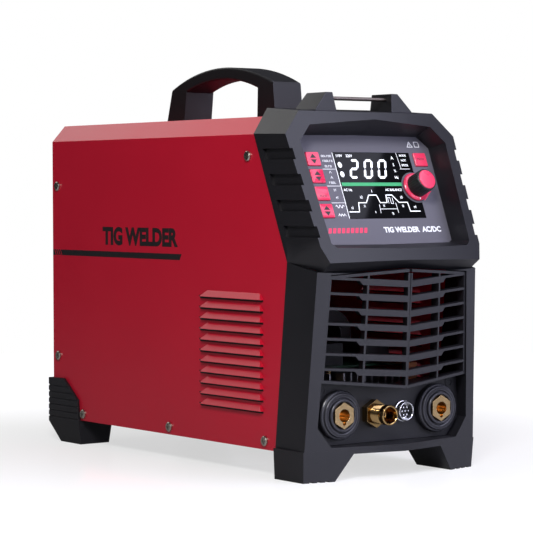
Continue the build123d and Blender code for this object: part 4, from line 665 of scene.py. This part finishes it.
class WELDER_OT_display(bpy.types.Operator):
    """Display window with lit digits, bar and current curve"""
    bl_idname = "welder.display"
    bl_label = "Display"

    def execute(self, context):
        glass = Finish("display_acrylic", IOR=1.5, Specular_IOR_Level=0.12)
        dust = glass.noise(400.0, 3.0)
        glass.link(
            Base_Color=glass.mix(dust, (0.0035, 0.0035, 0.004, 1.0), (0.005, 0.005, 0.006, 1.0)),
            Roughness=dust * 0.03 + 0.02,
        )
        stand_in("display_window", glass.material, 0.0002)
        self.face = PANEL @ Matrix.Translation(Vector((0, 0, 0.4)) * MM)
        self.depth = settings().shapes.print_depth
        lit = material("lit_white", ink, (0.9, 0.92, 0.95), glow=0.55)
        self.digits(lit)
        self.curve(lit)
        self.bar()
        self.units(lit)
        return {"FINISHED"}

    def digits(self, lit):
        """The number 200 in seven-segment strokes."""
        high = settings().shapes.digit_height / MM
        wide, lean, thick, base = 11.4, 0.27, 2.7, 9.6
        shapes = {"2": "abged", "0": "abcdef"}
        bm = bmesh.new()
        for digit, left in (("2", -22.8), ("0", -4.6), ("0", 13.4)):
            t, mid, gap = thick / 2, high / 2, 0.35
            ends = {
                "a": ((t + gap, high - t), (wide - t - gap, high - t)),
                "d": ((t + gap, t), (wide - t - gap, t)),
                "g": ((t + gap, mid), (wide - t - gap, mid)), "f": ((t, mid + gap), (t, high - t - gap)),
                "b": ((wide - t, mid + gap), (wide - t, high - t - gap)), "e": ((t, t + gap), (t, mid - gap)),
                "c": ((wide - t, t + gap), (wide - t, mid - gap)),
            }
            for segment in shapes[digit]:
                (x0, y0), (x1, y1) = ends[segment]
                if y0 == y1:
                    outline = [(x0, y0), (x0 + t, y0 + t), (x1 - t, y1 + t),
                               (x1, y1), (x1 - t, y1 - t), (x0 + t, y0 - t)]
                else:
                    outline = [(x0, y0), (x0 + t, y0 + t), (x1 + t, y1 - t),
                               (x1, y1), (x1 - t, y1 - t), (x0 - t, y0 + t)]
                prism(bm, [(left + x + y * lean, base + y) for x, y in outline], self.depth, self.face)
        piece("display_digits", bm, lit, even=False)

    def curve(self, lit):
        """Current against time, with its marks."""
        bm = bmesh.new()
        shape = [(-35.1, -26.4), (-22.2, -26.4), (-20.4, -16.6), (-10.4, -16.6), (-5.0, -8.4), (5.0, -8.4),
                 (7.6, -16.6), (16.2, -16.6), (17.4, -8.4), (25.2, -8.4), (32.0, -16.4), (43.0, -16.4),
                 (44.0, -26.2), (57.2, -26.2)]
        pulse = [(18.6, -17.6), (18.6, -11.2), (21.6, -11.2), (21.6, -17.6), (24.6, -17.6), (24.6, -11.2)]
        for points, width in (
            (shape, 0.95),
            ([(5.6, -18.6), (4.9, -28.0)], 0.45), ([(27.4, -16.8), (27.9, -28.0)], 0.45),
            ([(5.2, -23.5), (27.8, -23.5)], 0.45), (pulse, 0.5), ([(-37.1, 38.0), (-37.1, -33.6)], 0.6),
            ([(45.6, 38.3), (46.9, 20.8)], 0.4), ([(45.4, 20.3), (58.6, 20.4)], 0.4),
        ):
            stroke(bm, points, width, self.depth, self.face)
        for x, y in ((-31.2, 24.5), (-31.2, 14.3)):
            outline = [(x + 2.5 * cos(a), y + 3.1 * sin(a)) for a in (tau * i / 16 for i in range(16))]
            prism(bm, outline, self.depth, self.face)
        piece("display_curve", bm, lit, even=False)

    def bar(self):
        green = material("lit_green", ink, (0.03, 0.32, 0.12), glow=0.22)
        bm = bmesh.new()
        prism(bm, [(-35.2, 1.6), (42.2, 1.6), (42.2, 5.3), (-35.2, 5.3)], self.depth, self.face)
        piece("display_bar", bm, green, even=False)

    def units(self, lit):
        marks = (("A", 38.7, 32.4, 5.0), ("S", 38.4, 24.8, 4.4), ("%", 38.2, 18.1, 4.0),
                 ("Hz", 37.8, 10.9, 4.2), ("110V", -29.5, 34.3, 4.0), ("220V", -16.6, 34.3, 4.0),
                 ("AC Hz", -29.6, -2.8, 3.8), ("AC BALANCE", 29.4, -2.8, 3.6), ("t1", -29.7, -22.2, 4.0),
                 ("t2", -14.9, -10.6, 4.0), ("I", 0.4, -4.2, 4.2), ("t3", 36.8, -11.0, 4.0),
                 ("t4", 51.4, -21.6, 4.0), ("I1", -13.6, -20.4, 3.4), ("I2", 11.4, -20.0, 3.0),
                 ("I3", 36.0, -20.6, 3.4), ("t", -1.6, -26.6, 3.8), ("%", 20.4, -28.6, 3.6),
                 ("MODE", 53.6, 35.2, 3.2), ("HOT", 53.2, 29.8, 3.2), ("STICK", 53.4, 24.4, 3.2))
        for index, (text, x, y, size) in enumerate(marks):
            lettering(f"display_mark_{index + 1}", text, size, (x, y), self.face, lit,
                      bold=0.00005)


class WELDER_OT_buttons(bpy.types.Operator):
    """Push buttons with their printed arrows"""
    bl_idname = "welder.buttons"
    bl_label = "Buttons"

    def execute(self, context):
        black = material("black_ink", ink, (0.012, 0.008, 0.010))
        depth = settings().shapes.print_depth
        for node in ("process_button", "trigger_button", "pulse_button", "wave_button", "menu_button"):
            stand_in(node, accent(), 0.0005, segments=3, shortest=1.0 * MM)
            spots = [PANEL.inverted() @ v.co for v in NODES[node].data.vertices]
            face = max(spot.z for spot in spots)
            front = [spot for spot in spots if spot.z > face - 0.1 * MM]
            middle = sum(front, Vector()) / len(front)
            place = PANEL @ Matrix.Translation(Vector((middle.x, middle.y, face)))
            if node in ("pulse_button", "menu_button"):
                word, y = ("PULSE", -3.2) if node == "pulse_button" else ("MENU", 0.4)
                lettering(node + "_word", word, 3.3, (0, y), place, black, BODY_OF[node])
                continue
            bm = bmesh.new()
            for way in (-1, 1):
                prism(bm, [(-3.9, way * 0.8), (3.9, way * 0.8), (0, way * 5.4)], depth, place)
            piece(node + "_arrows", bm, black, BODY_OF[node], even=False)
        return {"FINISHED"}


class WELDER_OT_knob(bpy.types.Operator):
    """Turn-and-push knob: knurled body, red cap and pointer skirt"""
    bl_idname = "welder.knob"
    bl_label = "Knob"

    def execute(self, context):
        place = PANEL @ Matrix.Translation(Vector((KNOB_X, 0, 0)))
        for node, profile in (
            ("knob_cap", [(0.0, 22.0), (8.4, 22.0), (9.6, 21.75), (10.2, 21.0), (10.2, 19.3), (0.0, 19.3)]),
            ("knob_skirt", [(5.3, 0.95), (15.0, 0.95), (15.0, 2.2), (13.9, 3.3), (12.3, 3.85), (5.3, 3.85),
                            (5.3, 0.95)]),
        ):
            bm = soften(turned(profile, place, 72), 0.0002, angle=35)
            piece(node + "_shell", bm, accent(), "knob", [node])
        self.grip(place)
        bm = bmesh.new()
        mark = place @ Matrix.Translation(Vector((0, 0, 3.0)) * MM)
        prism(bm, [(-0.5, -14.4), (0.5, -14.4), (0.5, -12.6), (-0.5, -12.6)], 0.0009, mark)
        piece("knob_pointer", bm, white_ink(), "knob", even=False)
        stand_in("encoder_shaft", bright_steel(), 0.0002)
        return {"FINISHED"}

    def grip(self, place):
        """Black grip with upright ribs, tapering slightly to the cap."""
        ribs, corners, radius, swell, foot = 30, 4, 11.7 * MM, 1.022, 3.95 * MM
        bm = bmesh.new()
        base = bmesh.ops.create_circle(bm, segments=ribs * corners, radius=radius)["verts"]
        for index, vert in enumerate(sorted(base, key=lambda v: v.co.to_2d().angle_signed(Vector((1, 0))))):
            if index % corners in (0, 1):
                vert.co *= swell
        edges = list(bm.edges)
        bmesh.ops.translate(bm, verts=bm.verts, vec=Z_AXIS * foot)
        for height, grow in ((16.4, 0.965), (0.65, 0.93)):
            made = bmesh.ops.extrude_edge_only(bm, edges=edges)["geom"]
            verts = [g for g in made if isinstance(g, bmesh.types.BMVert)]
            edges = [g for g in made if isinstance(g, bmesh.types.BMEdge) and g.is_boundary]
            bmesh.ops.translate(bm, verts=verts, vec=Z_AXIS * height * MM)
            bmesh.ops.scale(bm, verts=verts, vec=(grow, grow, 1))
        bmesh.ops.holes_fill(bm, edges=bm.edges)
        bmesh.ops.recalc_face_normals(bm, faces=bm.faces)
        bmesh.ops.transform(bm, matrix=place, verts=bm.verts)
        piece("knob_grip", bm, black_plastic(), "knob", ["knob_body"], smooth=24)


class WELDER_OT_sockets(bpy.types.Operator):
    """Output sockets: stepped black collars round keyed brass hexagons"""
    bl_idname = "welder.sockets"
    bl_label = "Output sockets"

    def execute(self, context):
        for side in ("positive", "negative"):
            low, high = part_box(side + "_socket_insert")
            centre = Vector(((low.x + high.x) / 2, PLATE_FACE, (low.z + high.z) / 2))
            place = placed(centre, X_AXIS, Z_AXIS)
            collar = turned(
                [(11.0, -24.0), (17.0, -24.0), (17.0, 0.1), (24.3, 0.1), (24.4, 5.9), (23.4, 7.0), (22.3, 7.0),
                 (21.9, 7.6), (21.9, 9.3), (21.2, 10.0), (18.4, 10.0), (17.4, 9.4), (17.2, 8.2), (16.3, 8.2),
                 (16.1, 11.2), (15.4, 11.9), (14.1, 11.9), (13.6, 11.2), (13.6, 7.0), (11.0, 7.0),
                 (11.0, -24.0)], place, 96)
            soften(collar, 0.00025, angle=30)
            black = material("socket_black", moulded, (0.016, 0.016, 0.020), roughness=0.3)
            piece(side + "_socket_collar", collar, black,
                  replaces=[side + "_socket_housing"])
            bm = copy_of(side + "_socket_insert")
            front = PLATE_FACE - 12 * MM
            soften(bm, 0.0005, segments=3, angle=35, chosen=lambda e: min(v.co.y for v in e.verts) < front)
            piece(side + "_socket_contact", bm, brass(),
                  replaces=[side + "_socket_insert"], smooth=30)
        stand_in("socket_nuts", bright_steel(), 0.0004)
        return {"FINISHED"}


class WELDER_OT_torch_fittings(bpy.types.Operator):
    """Torch connector with its nut, and the multi-pin control socket"""
    bl_idname = "welder.torch_fittings"
    bl_label = "Torch fittings"

    def execute(self, context):
        low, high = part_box("torch_connector")
        self.torch((low + high) / 2)
        low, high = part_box("control_socket_shell")
        self.control((low + high) / 2)
        return {"FINISHED"}

    def torch(self, middle):
        """Threaded barrel with a bored mouth and a centre tube."""
        place = placed(Vector((middle.x, PLATE_FACE, middle.z)), X_AXIS, Z_AXIS)
        outside = [(9.4, -26.0), (9.4, 8.6)]
        pitch, start, stop = 1.5, 9.0, 23.5
        count = int((stop - start) / pitch)
        for index in range(count):
            z = start + index * pitch
            outside += [(9.15, z), (9.15, z + 0.35), (9.9, z + 0.75), (9.9, z + 1.1)]
        outside += [(9.3, 23.8), (9.3, 24.6), (9.98, 25.0), (9.98, 28.3), (9.5, 29.0)]
        inside = [(8.5, 29.0), (7.95, 28.4), (7.95, 3.4), (3.4, 3.4), (3.4, 18.6), (3.0, 19.0), (2.2, 19.0),
                  (1.8, 18.6), (1.8, -26.0), (9.4, -26.0)]
        bm = turned(outside + inside, place, 72)
        dull = material("lacquered_brass", turned_metal, (0.52, 0.35, 0.15), roughness=0.16, tarnish=0.3)
        piece("torch_barrel", soften(bm, 0.00012, angle=30, segments=1), dull,
              replaces=["torch_connector"], smooth=40)
        stand_in("torch_nut", dull, 0.0007, segments=3, angle=35)

    def control(self, middle):
        """Nickel ring, black insert and pins."""
        place = placed(Vector((middle.x, PLATE_FACE, middle.z)), X_AXIS, Z_AXIS)
        shell = turned([(6.8, -13.8), (8.0, -13.8), (8.0, 0.1), (11.0, 0.1), (11.0, 1.9), (10.4, 2.5),
                        (9.7, 2.6), (9.7, 7.3), (9.1, 8.0), (8.5, 8.0), (8.0, 7.4), (8.0, 0.5), (6.8, 0.5),
                        (6.8, -13.8)], place, 64)
        piece("control_socket_ring", soften(shell, 0.0002, angle=30), bright_steel(),
              replaces=["control_socket_shell"])
        stand_in("control_socket_insert", black_plastic(), 0.0002, shortest=0.3 * MM)
        stand_in("control_socket_pins", bright_steel(), 0.00025, shortest=0.1 * MM)


class WELDER_OT_screws(bpy.types.Operator):
    """Cover, handle and fan screws"""
    bl_idname = "welder.screws"
    bl_label = "Screws"

    def execute(self, context):
        for node in ("cover_screws", "fan_screws", "handle_screws"):
            stand_in(node, screw_steel(), 0.0003, shortest=0.2 * MM, angle=30)
        return {"FINISHED"}


class WELDER_OT_rear(bpy.types.Operator):
    """Rear panel with switch, gland, gas inlet, earth stud and finger guard"""
    bl_idname = "welder.rear"
    bl_label = "Rear"

    def execute(self, context):
        coat = powder_coat("black_powder_coat", (0.012, 0.012, 0.013), roughness=0.5, peel=0.0001)
        stand_in("rear_panel", coat, 0.0002, shortest=1.0 * MM)
        stand_in("switch_housing", black_plastic(), 0.0004)
        stand_in("switch_rocker", accent(), 0.0004)
        stand_in("cable_gland", black_plastic(), 0.0003, shortest=0.3 * MM)
        stand_in("gland_nut", black_plastic(), 0.0003, shortest=0.3 * MM)
        stand_in("gas_inlet", brass(), 0.0002, shortest=0.3 * MM)
        stand_in("earth_stud", brass(), 0.0002, shortest=0.3 * MM)
        self.guard()
        return {"FINISHED"}

    def guard(self):
        """Round wire rings held by four spokes."""
        low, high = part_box("fan_guard")
        centre = (low + high) / 2
        wire = (high.y - low.y) / 2 * 0.72
        bm = bmesh.new()
        for ring in (12.8, 22.8, 32.8, 42.8, 52.8):
            wire_ring(bm, Vector((centre.x, high.y - wire, centre.z)), Y_AXIS, ring * MM, wire)
        for index in range(4):
            angle = radians(45 + 90 * index)
            ahead = Vector((cos(angle), 0, sin(angle)))
            start, end = centre + ahead * 8 * MM, centre + ahead * 74 * MM
            start.y = end.y = low.y + wire
            made = bmesh.ops.create_cone(bm, cap_ends=True, segments=12, radius1=wire, radius2=wire,
                                         depth=(end - start).length)
            turn = ahead.to_track_quat("Z", "Y").to_matrix().to_4x4()
            turn.translation = (start + end) / 2
            bmesh.ops.transform(bm, matrix=turn, verts=made["verts"])
            eye = end - ahead * 0.2 * MM
            wire_ring(bm, Vector((eye.x, low.y + wire, eye.z)), Y_AXIS, 3.9 * MM, wire * 0.95, 32, 8)
        bmesh.ops.recalc_face_normals(bm, faces=bm.faces)
        piece("guard_wires", bm, bright_steel(), replaces=["fan_guard"], smooth=40,
              even=False)


class WELDER_OT_fan(bpy.types.Operator):
    """Fan frame, motor and wheel with swept blades"""
    bl_idname = "welder.fan"
    bl_label = "Fan"

    def execute(self, context):
        stand_in("fan_frame", black_plastic(), 0.0004, shortest=1.0 * MM)
        stand_in("fan_stator", copper(), 0.0002)
        self.wheel()
        return {"FINISHED"}

    def wheel(self):
        """Hub with swept, twisted blades."""
        low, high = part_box("fan_rotor")
        pivot = Vector(JOINTS["fan_spin"]["pos_m"])
        place = placed(Vector((pivot.x, low.y, pivot.z)), -X_AXIS, Z_AXIS)
        long = (high.y - low.y) / MM
        hub = turned([(0.0, 0.4), (2.0, 0.4), (2.0, long - 2.4), (18.0, long - 2.4), (18.0, 3.4), (20.0, 3.4),
                      (20.0, long - 1.2), (18.8, long), (0.0, long)], place, 64)
        soften(hub, 0.0003, angle=35)
        blades = settings().shapes.fan_blades
        span = 8
        for index in range(blades):
            rows = []
            for step in range(span + 1):
                k = step / span
                radius = 19.0 + 33.5 * k
                spin = tau * index / blades + 0.35 * k * k
                chord, pitch = 13.0 + 6.0 * k, radians(50 - 20 * k)
                row = []
                for side in (-1, 0, 1):
                    along = side * chord / 2 * cos(pitch)
                    rise = min(long - 2.0, max(4.2, 12.0 - side * chord / 2 * sin(pitch)))
                    bow = 0.9 if side == 0 else 0.0
                    turn = spin + along / radius
                    spot = Vector((radius * cos(turn), radius * sin(turn), rise + bow)) * MM
                    row.append(hub.verts.new(place @ spot))
                rows.append(row)
            faces = [hub.faces.new((a[i], a[i + 1], b[i + 1], b[i]))
                     for a, b in zip(rows, rows[1:]) for i in range(2)]
            bmesh.ops.solidify(hub, geom=faces, thickness=1.4 * MM)
        bmesh.ops.recalc_face_normals(hub, faces=hub.faces)
        piece("fan_wheel_blades", hub, black_plastic(), "fan_wheel", ["fan_rotor"],
              smooth=40)


class WELDER_OT_power_stage(bpy.types.Operator):
    """Boards, heat sinks and the other pieces behind the grille"""
    bl_idname = "welder.power_stage"
    bl_label = "Power stage"

    def execute(self, context):
        aluminium = material("extruded_aluminium", brushed_sheet, (0.45, 0.45, 0.47))
        zinc = material("zinc_sheet", brushed_sheet, (0.58, 0.59, 0.60), roughness=0.42)
        board = material("solder_mask", gloss_plastic, (0.004, 0.030, 0.012), roughness=0.35)
        ferrite = material("ferrite", moulded, (0.045, 0.043, 0.047), roughness=0.55)
        sleeve = material("capacitor_sleeve", gloss_plastic, (0.012, 0.018, 0.05))
        rubber = material("hose_rubber", moulded, (0.012, 0.012, 0.012), roughness=0.6)
        looks = (
            (aluminium, 0.0003, ("heatsinks",)),
            (zinc, 0.0002, ("base_chassis", "encoder_body")),
            (board, 0.0002, ("main_board", "control_board")),
            (copper(), 0.001, ("transformer_coil", "bus_bars")),
            (ferrite, 0.0006, ("transformer_core", "arc_starter_coil")),
            (sleeve, 0.0006, ("filter_capacitors",)),
            (brass(), 0.0003, ("board_standoffs", "gas_valve")),
            (black_plastic(), 0.0004, ("rectifier_modules", "display_module")),
            (rubber, 0.0, ("gas_hose",)),
            (bright_steel(), 0.0001, ("encoder_plunger",)),
        )
        for finish, width, nodes in looks:
            for node in nodes:
                stand_in(node, finish, width, shortest=0.6 * MM, angle=35)
        return {"FINISHED"}


class WELDER_OT_stage(bpy.types.Operator):
    """Pale floor, studio light and the camera"""
    bl_idname = "welder.stage"
    bl_label = "Stage"

    def execute(self, context):
        self.camera(context.scene)
        self.floor()
        self.world(context.scene)
        self.display_softbox(context.scene.camera.location)
        cool, neutral = (0.78, 0.79, 1.0), (1.0, 0.99, 0.98)
        for name, spot, aim, size, radiance, color in (
            ("fill_left", (-1.1, -1.3, 1.3), (-0.1, -0.1, 0.25), (0.42, 0.42), 50.0, neutral),
            ("rear_high", (-0.15, 2.0, 1.55), (0.0, 0.1, 0.3), (1.9, 0.9), 1.7, neutral),
            ("overhead", (0.2, 0.3, 2.1), (0.0, 0.1, 0.2), (1.2, 1.2), 0.9, neutral),
            ("front_low", (0.42, -2.0, 0.45), (0.0, -0.2, 0.14), (0.8, 0.8), 5.5, cool),
            ("front_middle", (1.45, -2.1, 0.85), (0.0, -0.1, 0.38), (0.6, 0.5), 4.5, cool),
            ("front_right_low", (1.9, -1.15, 0.30), (0.0, -0.2, 0.2), (0.5, 1.0), 3.4, cool),
        ):
            spot, aim = Vector(spot), Vector(aim)
            turn = (spot - aim).to_track_quat("Z", "Y").to_matrix()
            self.softbox(name, spot, turn, size, radiance * settings().stage.key, color)
        return {"FINISHED"}

    def camera(self, scene):
        data = bpy.data.cameras.new("camera")
        data.lens = settings().stage.lens
        data.clip_end = 50.0
        camera = bpy.data.objects.new("camera", data)
        scene.collection.objects.link(camera)
        aim, spot = Vector((-0.00276, -0.0270, 0.20225)), Vector((-1.36865, -1.87576, 0.28250))
        ahead = (aim - spot).normalized()
        camera.location = aim - ahead * settings().stage.distance
        level = ahead.to_track_quat("-Z", "Y").to_matrix()
        camera.rotation_euler = (level @ Matrix.Rotation(radians(-0.15), 3, "Z")).to_euler()
        scene.camera = camera

    def floor(self):
        bm = bmesh.new()
        bmesh.ops.create_circle(bm, cap_ends=True, segments=96, radius=1.5)
        mesh = bpy.data.meshes.new("floor")
        bm.to_mesh(mesh)
        bm.free()
        floor = bpy.data.objects.new("floor", mesh)
        finish = Finish("pale_floor", IOR=1.45, Specular_IOR_Level=0.2, Emission_Strength=1.0)
        tone, broad = settings().stage.floor, finish.noise(3.0)
        x, y, _ = finish.axes()
        far = (x * x + y * y) * 2.0
        seen = finish.add("ShaderNodeLightPath").outputs["Is Camera Ray"]
        glow = finish.mix(far, (0.60, 0.60, 0.60, 1.0), (0.95, 0.95, 0.95, 1.0))
        finish.link(
            Base_Color=finish.mix(broad, shade(tone, 0.995), shade(tone, 1.005)),
            Emission_Color=finish.mix(seen, (0.04, 0.04, 0.04, 1.0), glow),
            Roughness=broad * 0.04 + 0.1,
        )
        mesh.materials.append(finish.material)
        bpy.context.scene.collection.objects.link(floor)

    def world(self, scene):
        world = bpy.data.worlds.new("studio")
        scene.world = world
        world.use_nodes = True
        nodes = Nodes(world.node_tree)
        seen = nodes.add("ShaderNodeLightPath").outputs["Is Camera Ray"]
        sky = nodes.mix(seen, (0.03, 0.03, 0.034, 1.0), (1.0, 1.0, 1.0, 1.0))
        nodes.feed(nodes.tree.nodes["Background"].inputs["Color"], sky)
        scene.view_settings.view_transform = "Standard"

    def display_softbox(self, eye):
        """Large softbox whose mirrored edge crosses the display glass from corner to corner."""
        out, reach, wide, high = PANEL.to_3x3() @ Z_AXIS, 2.0, 1.5, 2.2

        def mirrored(x, y):
            point = PANEL @ (Vector((x, y, 0.4)) * MM)
            return point + (point - eye).normalized().reflect(out) * reach

        top, low, left = mirrored(27.3, 38.5), mirrored(-17.3, -33.2), mirrored(-60.0, 0.0)
        edge = (low - top).normalized()
        side = left - top
        side = (side - edge * side.dot(edge)).normalized()
        back = side.cross(edge)
        if back.dot(top) < 0:
            edge, back = -edge, -back
        middle = (top + low) / 2 + side * wide / 2
        turn = Matrix((side, edge, back)).transposed()
        self.softbox("key_display", middle, turn, (wide, high), 3.7 * settings().stage.key, (0.78, 0.79, 1.0))

    def softbox(self, name, spot, turn, size, radiance, color):
        light = bpy.data.lights.new(name, "AREA")
        light.shape = "RECTANGLE"
        light.size, light.size_y = size
        light.energy = radiance * pi * size[0] * size[1]
        light.color = color
        lamp = bpy.data.objects.new(name, light)
        lamp.location = spot
        lamp.rotation_euler = turn.to_euler()
        bpy.context.scene.collection.objects.link(lamp)


class WELDER_PT_panel(bpy.types.Panel):
    """Buttons and settings in the sidebar"""
    bl_idname = "WELDER_PT_panel"
    bl_label = "Welding machine"
    bl_space_type = "VIEW_3D"
    bl_region_type = "UI"
    bl_category = "Welder"

    def draw(self, context):
        for maker in MAKERS:
            self.layout.operator(maker.bl_idname)
        for group in (settings().colors, settings().shapes, settings().stage):
            box = self.layout.box()
            for name in group.__annotations__:
                box.prop(group, name)


MAKERS = (
    WELDER_OT_cover, WELDER_OT_moulding, WELDER_OT_handle, WELDER_OT_panel, WELDER_OT_display,
    WELDER_OT_buttons, WELDER_OT_knob, WELDER_OT_sockets, WELDER_OT_torch_fittings, WELDER_OT_screws,
    WELDER_OT_rear, WELDER_OT_fan, WELDER_OT_power_stage, WELDER_OT_stage,
)
CLASSES = (WelderColors, WelderShapes, WelderStage, WelderSettings) + MAKERS + (WELDER_PT_panel,)


def register():
    for one in CLASSES:
        bpy.utils.register_class(one)
    bpy.types.Scene.welder = PointerProperty(type=WelderSettings)


def unregister():
    del bpy.types.Scene.welder
    for one in reversed(CLASSES):
        bpy.utils.unregister_class(one)


def main():
    """Makes every piece in order."""
    register()
    for maker in MAKERS:
        group, name = maker.bl_idname.split(".")
        getattr(getattr(bpy.ops, group), name)()


if __name__ == "__main__":
    main()
